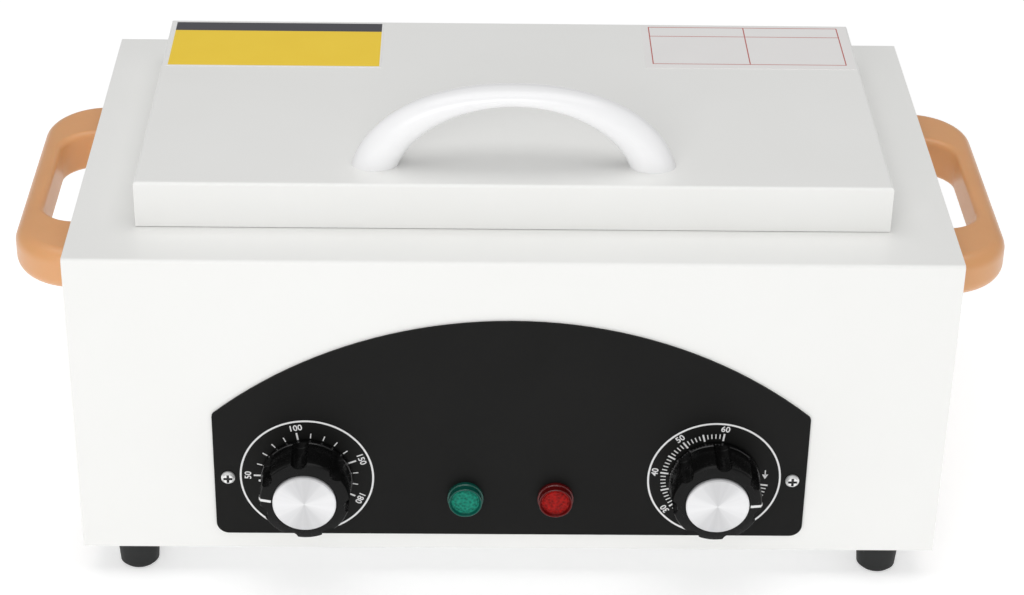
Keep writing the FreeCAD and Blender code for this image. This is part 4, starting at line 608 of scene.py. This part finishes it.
def inkRing(radius, line):
    freshStart()
    bpy.ops.mesh.primitive_circle_add(vertices=scale["ringFacets"], radius=(radius - line / 2) * mm,
                                      fill_type="NOTHING")
    bpy.ops.object.mode_set(mode="EDIT")
    bpy.ops.mesh.select_mode(type="VERT")                  # the circle has no faces yet
    bpy.ops.mesh.select_all(action="SELECT")
    widen = (radius + line / 2) / (radius - line / 2)
    bpy.ops.mesh.extrude_region_move(TRANSFORM_OT_translate={"value": (0, 0, 0)})
    bpy.ops.transform.resize(value=(widen, widen, 1))
    low, high = scale["ringGap"]
    pickFaces(bpy.context.object,
              lambda face: low < math.degrees(math.atan2(face.center.y, face.center.x)) < high)
    bpy.ops.mesh.delete(type="FACE")
    bpy.ops.mesh.select_all(action="SELECT")
    lift(scale["ink"])
    bpy.ops.mesh.select_all(action="SELECT")
    bpy.ops.mesh.normals_make_consistent(inside=False)
    bpy.ops.object.mode_set(mode="OBJECT")
    return bpy.context.object


def inkBar(length, line):
    freshStart()
    bpy.ops.mesh.primitive_plane_add(size=1)
    bpy.ops.object.mode_set(mode="EDIT")
    bpy.ops.transform.resize(value=(length * mm, line * mm, 1))
    lift(scale["ink"])
    bpy.ops.mesh.select_all(action="SELECT")
    bpy.ops.mesh.normals_make_consistent(inside=False)
    bpy.ops.object.mode_set(mode="OBJECT")
    return bpy.context.object


def inkPatch(corners, radius):                             # a dot, or an arrowhead with three corners
    freshStart()
    bpy.ops.mesh.primitive_circle_add(vertices=corners, radius=radius * mm, fill_type="NGON")
    bpy.ops.object.mode_set(mode="EDIT")
    lift(scale["ink"])
    bpy.ops.mesh.select_all(action="SELECT")
    bpy.ops.mesh.normals_make_consistent(inside=False)
    bpy.ops.object.mode_set(mode="OBJECT")
    return bpy.context.object


def inkNumber(value):
    freshStart()
    bpy.ops.object.text_add()
    number = bpy.context.object
    number.data.body = str(value)
    number.data.size = scale["numberHeight"] * mm
    number.data.align_x, number.data.align_y = "CENTER", "CENTER"
    number.data.offset = scale["numberWeight"] * mm
    number.data.extrude = scale["ink"] * mm / 2
    number.data.resolution_u = scale["numberCurve"]
    bpy.ops.object.convert(target="MESH")
    return bpy.context.object


def polar(radius, angle, height=0.0):
    turned = math.radians(angle)
    return (radius * math.cos(turned) * mm, radius * math.sin(turned) * mm, height * mm)


def spread(model, radius, angles):                         # copies of a bar, pointing outwards
    bars = []
    for angle in angles:
        bar = twin(model)
        bar.rotation_euler = (0, 0, math.radians(angle))
        bar.location = polar(radius, angle)
        bars.append(bar)
    return bars


def addScale(name, across, ticks, boldTicks, tick, boldTick, numbers, numberRadius, extras):
    thin = inkBar(tick[1] - tick[0], scale["tickLine"])
    bold = inkBar(boldTick[1] - boldTick[0], scale["boldLine"])
    prints = spread(thin, sum(tick) / 2, ticks) + spread(bold, sum(boldTick) / 2, boldTicks)
    for model in (thin, bold):
        bpy.data.objects.remove(model)
    for value, angle in numbers:
        number = inkNumber(value)
        number.rotation_euler = (0, 0, math.radians(angle - 90))
        number.location = polar(numberRadius, angle, scale["ink"] / 2)
        prints.append(number)
    artwork = joined([inkRing(scale["ringRadius"], scale["ringLine"])] + prints + extras)
    standUp(artwork, across, dials["panelFront"], dials["height"])
    settle(artwork, name, "white_ink", "case")


def heatAngle(value):
    return heatScale["atFifty"] - heatScale["perTen"] * (value - heatScale["first"]) / 10


def minuteAngle(value):
    return timeScale["atSixty"] + timeScale["perMinute"] * (60 - value)


dot = inkPatch(scale["dotCorners"], scale["dotRadius"])
dot.location = polar(*heatScale["dot"])
heatValues = range(heatScale["first"], heatScale["last"] + 1, 10)
addScale("temperatureScale", -dials["fromMiddle"],
         [heatAngle(value) for value in heatValues if value not in heatScale["bold"]],
         [heatAngle(value) for value in heatScale["bold"]], heatScale["tick"], heatScale["boldTick"],
         [(value, heatAngle(value)) for value in heatScale["numbers"]], heatScale["numberRadius"], [dot])

arrow = inkPatch(3, timeScale["arrowSize"])
arrow.location = polar(*timeScale["arrow"])
arrow.rotation_euler = (0, 0, math.radians(180))
arrowStem = inkBar(timeScale["arrowStem"], scale["tickLine"])
arrowStem.location = (arrow.location.x, arrow.location.y + timeScale["arrowSize"] * mm, 0)
arrowStem.rotation_euler = (0, 0, math.radians(90))
addScale("timerScale", dials["fromMiddle"],
         [minuteAngle(value) for value in range(0, 61) if value % 5],
         [minuteAngle(value) for value in range(0, 61, 5)], timeScale["tick"], timeScale["boldTick"],
         [(value, minuteAngle(value)) for value in timeScale["numbers"]], timeScale["numberRadius"],
         [arrow, arrowStem])
print("dial scales printed")


# Knobs: a turned body with seven scooped flutes and soft moulded edges, and a white line over its front edge
knob = {                                                   # mm; heights are from the panel
    "skirt": 19.3, "skirtTop": 3.2, "radius": 18.9, "back": 1.0, "side": 17.0,
    "shoulder": (18.3, 18.2), "face": (14.4, 19.1),
    "seat": (13.5, 17.9), "bore": 3.2, "wall": 4.7, "floor": 17.0, "hub": 6.0, "hubBack": 4.5,
    "flutes": 7, "fluteRadius": 3.8, "fluteDepth": 2.5, "fluteFrom": 3.0, "facets": 210, "fluteFacets": 48,
    "boreStop": 0.6, "softEdge": 0.18, "softSteps": 3, "crumb": 0.004,
    "bevelFrom": 28.0, "smoothTo": 40.0,                   # degrees
    "lobe": {"temperature": -84.0, "timer": -96.0}, "rest": {"temperature": 178.0, "timer": -3.0},
    "line": ((13.9, 19.1), (14.4, 19.1), (18.25, 18.25), (18.92, 17.0), (18.92, 15.2)), "lineWidth": 1.2,
    "lineDepth": 0.12, "lineEdge": 0.04, "lineSteps": 2,
}


def narrowed(fromRadius, toRadius, rise):                  # a ring of faces inwards, then straight up or down
    bpy.ops.mesh.inset(thickness=(fromRadius - toRadius) * mm, depth=0)
    lift(rise)


def addKnob(label, across):
    freshStart()
    back, skirtTop = knob["back"], knob["skirtTop"]
    bpy.ops.mesh.primitive_cylinder_add(vertices=knob["facets"], radius=knob["skirt"] * mm,
                                        depth=(skirtTop - back) * mm,
                                        location=(0, 0, (back + skirtTop) / 2 * mm))
    body = bpy.context.object
    bpy.ops.object.transform_apply(location=True)
    pickFaces(body, facesUp)
    narrowed(knob["skirt"], knob["radius"], knob["side"] - skirtTop)
    radius, height = knob["radius"], knob["side"]
    for nextRadius, nextHeight in (knob["shoulder"], knob["face"]):
        ringStep(radius - nextRadius, nextHeight - height)
        radius, height = nextRadius, nextHeight
    seatRadius, seatHeight = knob["seat"]
    narrowed(radius, seatRadius, seatHeight - height)
    pickFaces(body, facesDown)
    narrowed(knob["skirt"], knob["radius"] - knob["wall"], knob["floor"] - back)
    narrowed(knob["radius"] - knob["wall"], knob["hub"], knob["hubBack"] - knob["floor"])
    narrowed(knob["hub"], knob["bore"], seatHeight - knob["boreStop"] - knob["hubBack"])
    bpy.ops.mesh.select_all(action="SELECT")
    bpy.ops.mesh.normals_make_consistent(inside=False)
    applied(body, "BEVEL", width=knob["softEdge"] * mm, segments=knob["softSteps"],
            limit_method="ANGLE", angle_limit=math.radians(knob["bevelFrom"]))
    freshStart()
    reach = knob["radius"] + knob["fluteRadius"] - knob["fluteDepth"]
    tall = knob["face"][1]                                 # the scoops run out past the front
    bpy.ops.mesh.primitive_cylinder_add(vertices=knob["fluteFacets"], radius=knob["fluteRadius"] * mm,
                                        depth=tall * mm)
    scoop = bpy.context.object
    scoops = []
    for index in range(knob["flutes"]):
        angle = knob["lobe"][label] + 180 / knob["flutes"] + index * 360 / knob["flutes"]
        copied = twin(scoop)
        copied.location = polar(reach, angle, knob["fluteFrom"] + tall / 2)
        scoops.append(copied)
    bpy.data.objects.remove(scoop)
    cutter = joined(scoops)
    applied(body, "BOOLEAN", operation="DIFFERENCE", object=cutter, solver="EXACT")
    bpy.data.objects.remove(cutter)
    bpy.ops.object.mode_set(mode="EDIT")
    bpy.ops.mesh.select_all(action="SELECT")
    bpy.ops.mesh.remove_doubles(threshold=knob["crumb"] * mm)
    bpy.ops.mesh.dissolve_degenerate(threshold=knob["crumb"] * mm)
    bpy.ops.mesh.normals_make_consistent(inside=False)
    bpy.ops.object.mode_set(mode="OBJECT")
    selectOnly(body)
    bpy.ops.object.shade_smooth_by_angle(angle=math.radians(knob["smoothTo"]))
    standUp(body, across, dials["panelFront"], dials["height"])
    settle(body, label + "KnobShell", "black_plastic", label + "_dial")
    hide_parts(label + "_knob")


def addPointer(label, across):
    points = knob["line"]
    freshStart()
    bpy.ops.mesh.primitive_plane_add(size=1)
    line = bpy.context.object
    bpy.ops.object.mode_set(mode="EDIT")
    bpy.ops.transform.resize(value=((points[1][0] - points[0][0]) * mm, knob["lineWidth"] * mm, 1))
    bpy.ops.transform.translate(value=((points[0][0] + points[1][0]) / 2 * mm, 0, points[0][1] * mm))
    middle = (points[0][0] + points[1][0]) / 2 * mm
    pickEdges(line, lambda a, b: a.x > middle and b.x > middle)
    for (radius, height), (nextRadius, nextHeight) in zip(points[1:], points[2:]):
        step = ((nextRadius - radius) * mm, 0, (nextHeight - height) * mm)
        bpy.ops.mesh.extrude_region_move(TRANSFORM_OT_translate={"value": step})
    bpy.ops.object.mode_set(mode="OBJECT")
    applied(line, "SOLIDIFY", thickness=knob["lineDepth"] * mm, offset=1)
    applied(line, "BEVEL", width=knob["lineEdge"] * mm, segments=knob["lineSteps"])
    line.rotation_euler = (0, 0, math.radians(knob["rest"][label]))
    selectOnly(line)
    bpy.ops.object.transform_apply(rotation=True)
    standUp(line, across, dials["panelFront"], dials["height"])
    settle(line, label + "Pointer", "white_ink", label + "_dial")


for label, across in (("temperature", -dials["fromMiddle"]), ("timer", dials["fromMiddle"])):
    addKnob(label, across)
    addPointer(label, across)
print("knobs fluted and marked")


# Lamps: a flange, a tinted clear bezel and a domed prismatic lens sunk in it
def addLamp(name, node, finish):
    low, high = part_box(node)
    across, height = (low[0] + high[0]) / 2 / mm, (low[2] + high[2]) / 2 / mm
    radius, deep = (high[0] - low[0]) / 2 / mm, (high[1] - low[1]) / mm
    shape = lampShape
    freshStart()
    bpy.ops.mesh.primitive_cylinder_add(vertices=shape["facets"], radius=radius * mm,
                                        depth=shape["flange"] * mm, location=(0, 0, shape["flange"] / 2 * mm))
    lamp = bpy.context.object
    bpy.ops.object.transform_apply(location=True)
    pickFaces(lamp, facesUp)
    narrowed(radius, radius - shape["step"], deep - shape["flange"])
    ringStep(shape["bezel"], 0)
    ringStep(shape["edge"], -shape["dip"])
    ringStep(shape["lensRim"], 0)
    ringStep(shape["lensStep"], shape["lensStep"])
    lensRadius = radius - sum(shape[name] for name in ("step", "bezel", "edge", "lensRim", "lensStep"))
    for rise in shape["domeRings"]:                        # shares of the dome, ring by ring
        ringStep(lensRadius / (len(shape["domeRings"]) + 1), shape["dome"] * rise)
    bpy.ops.object.mode_set(mode="OBJECT")
    applied(lamp, "BEVEL", width=shape["softEdge"] * mm, segments=shape["softSteps"],
            limit_method="ANGLE", angle_limit=math.radians(shape["bevelFrom"]))
    bpy.ops.object.shade_smooth_by_angle(angle=math.radians(shape["smoothTo"]))
    standUp(lamp, across, high[1] / mm, height)
    settle(lamp, name, finish, "case")
    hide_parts(node)


addLamp("greenLamp", "green_lamp_lens", "green_lens")
addLamp("redLamp", "red_lamp_lens", "red_lens")
print("lamps made")
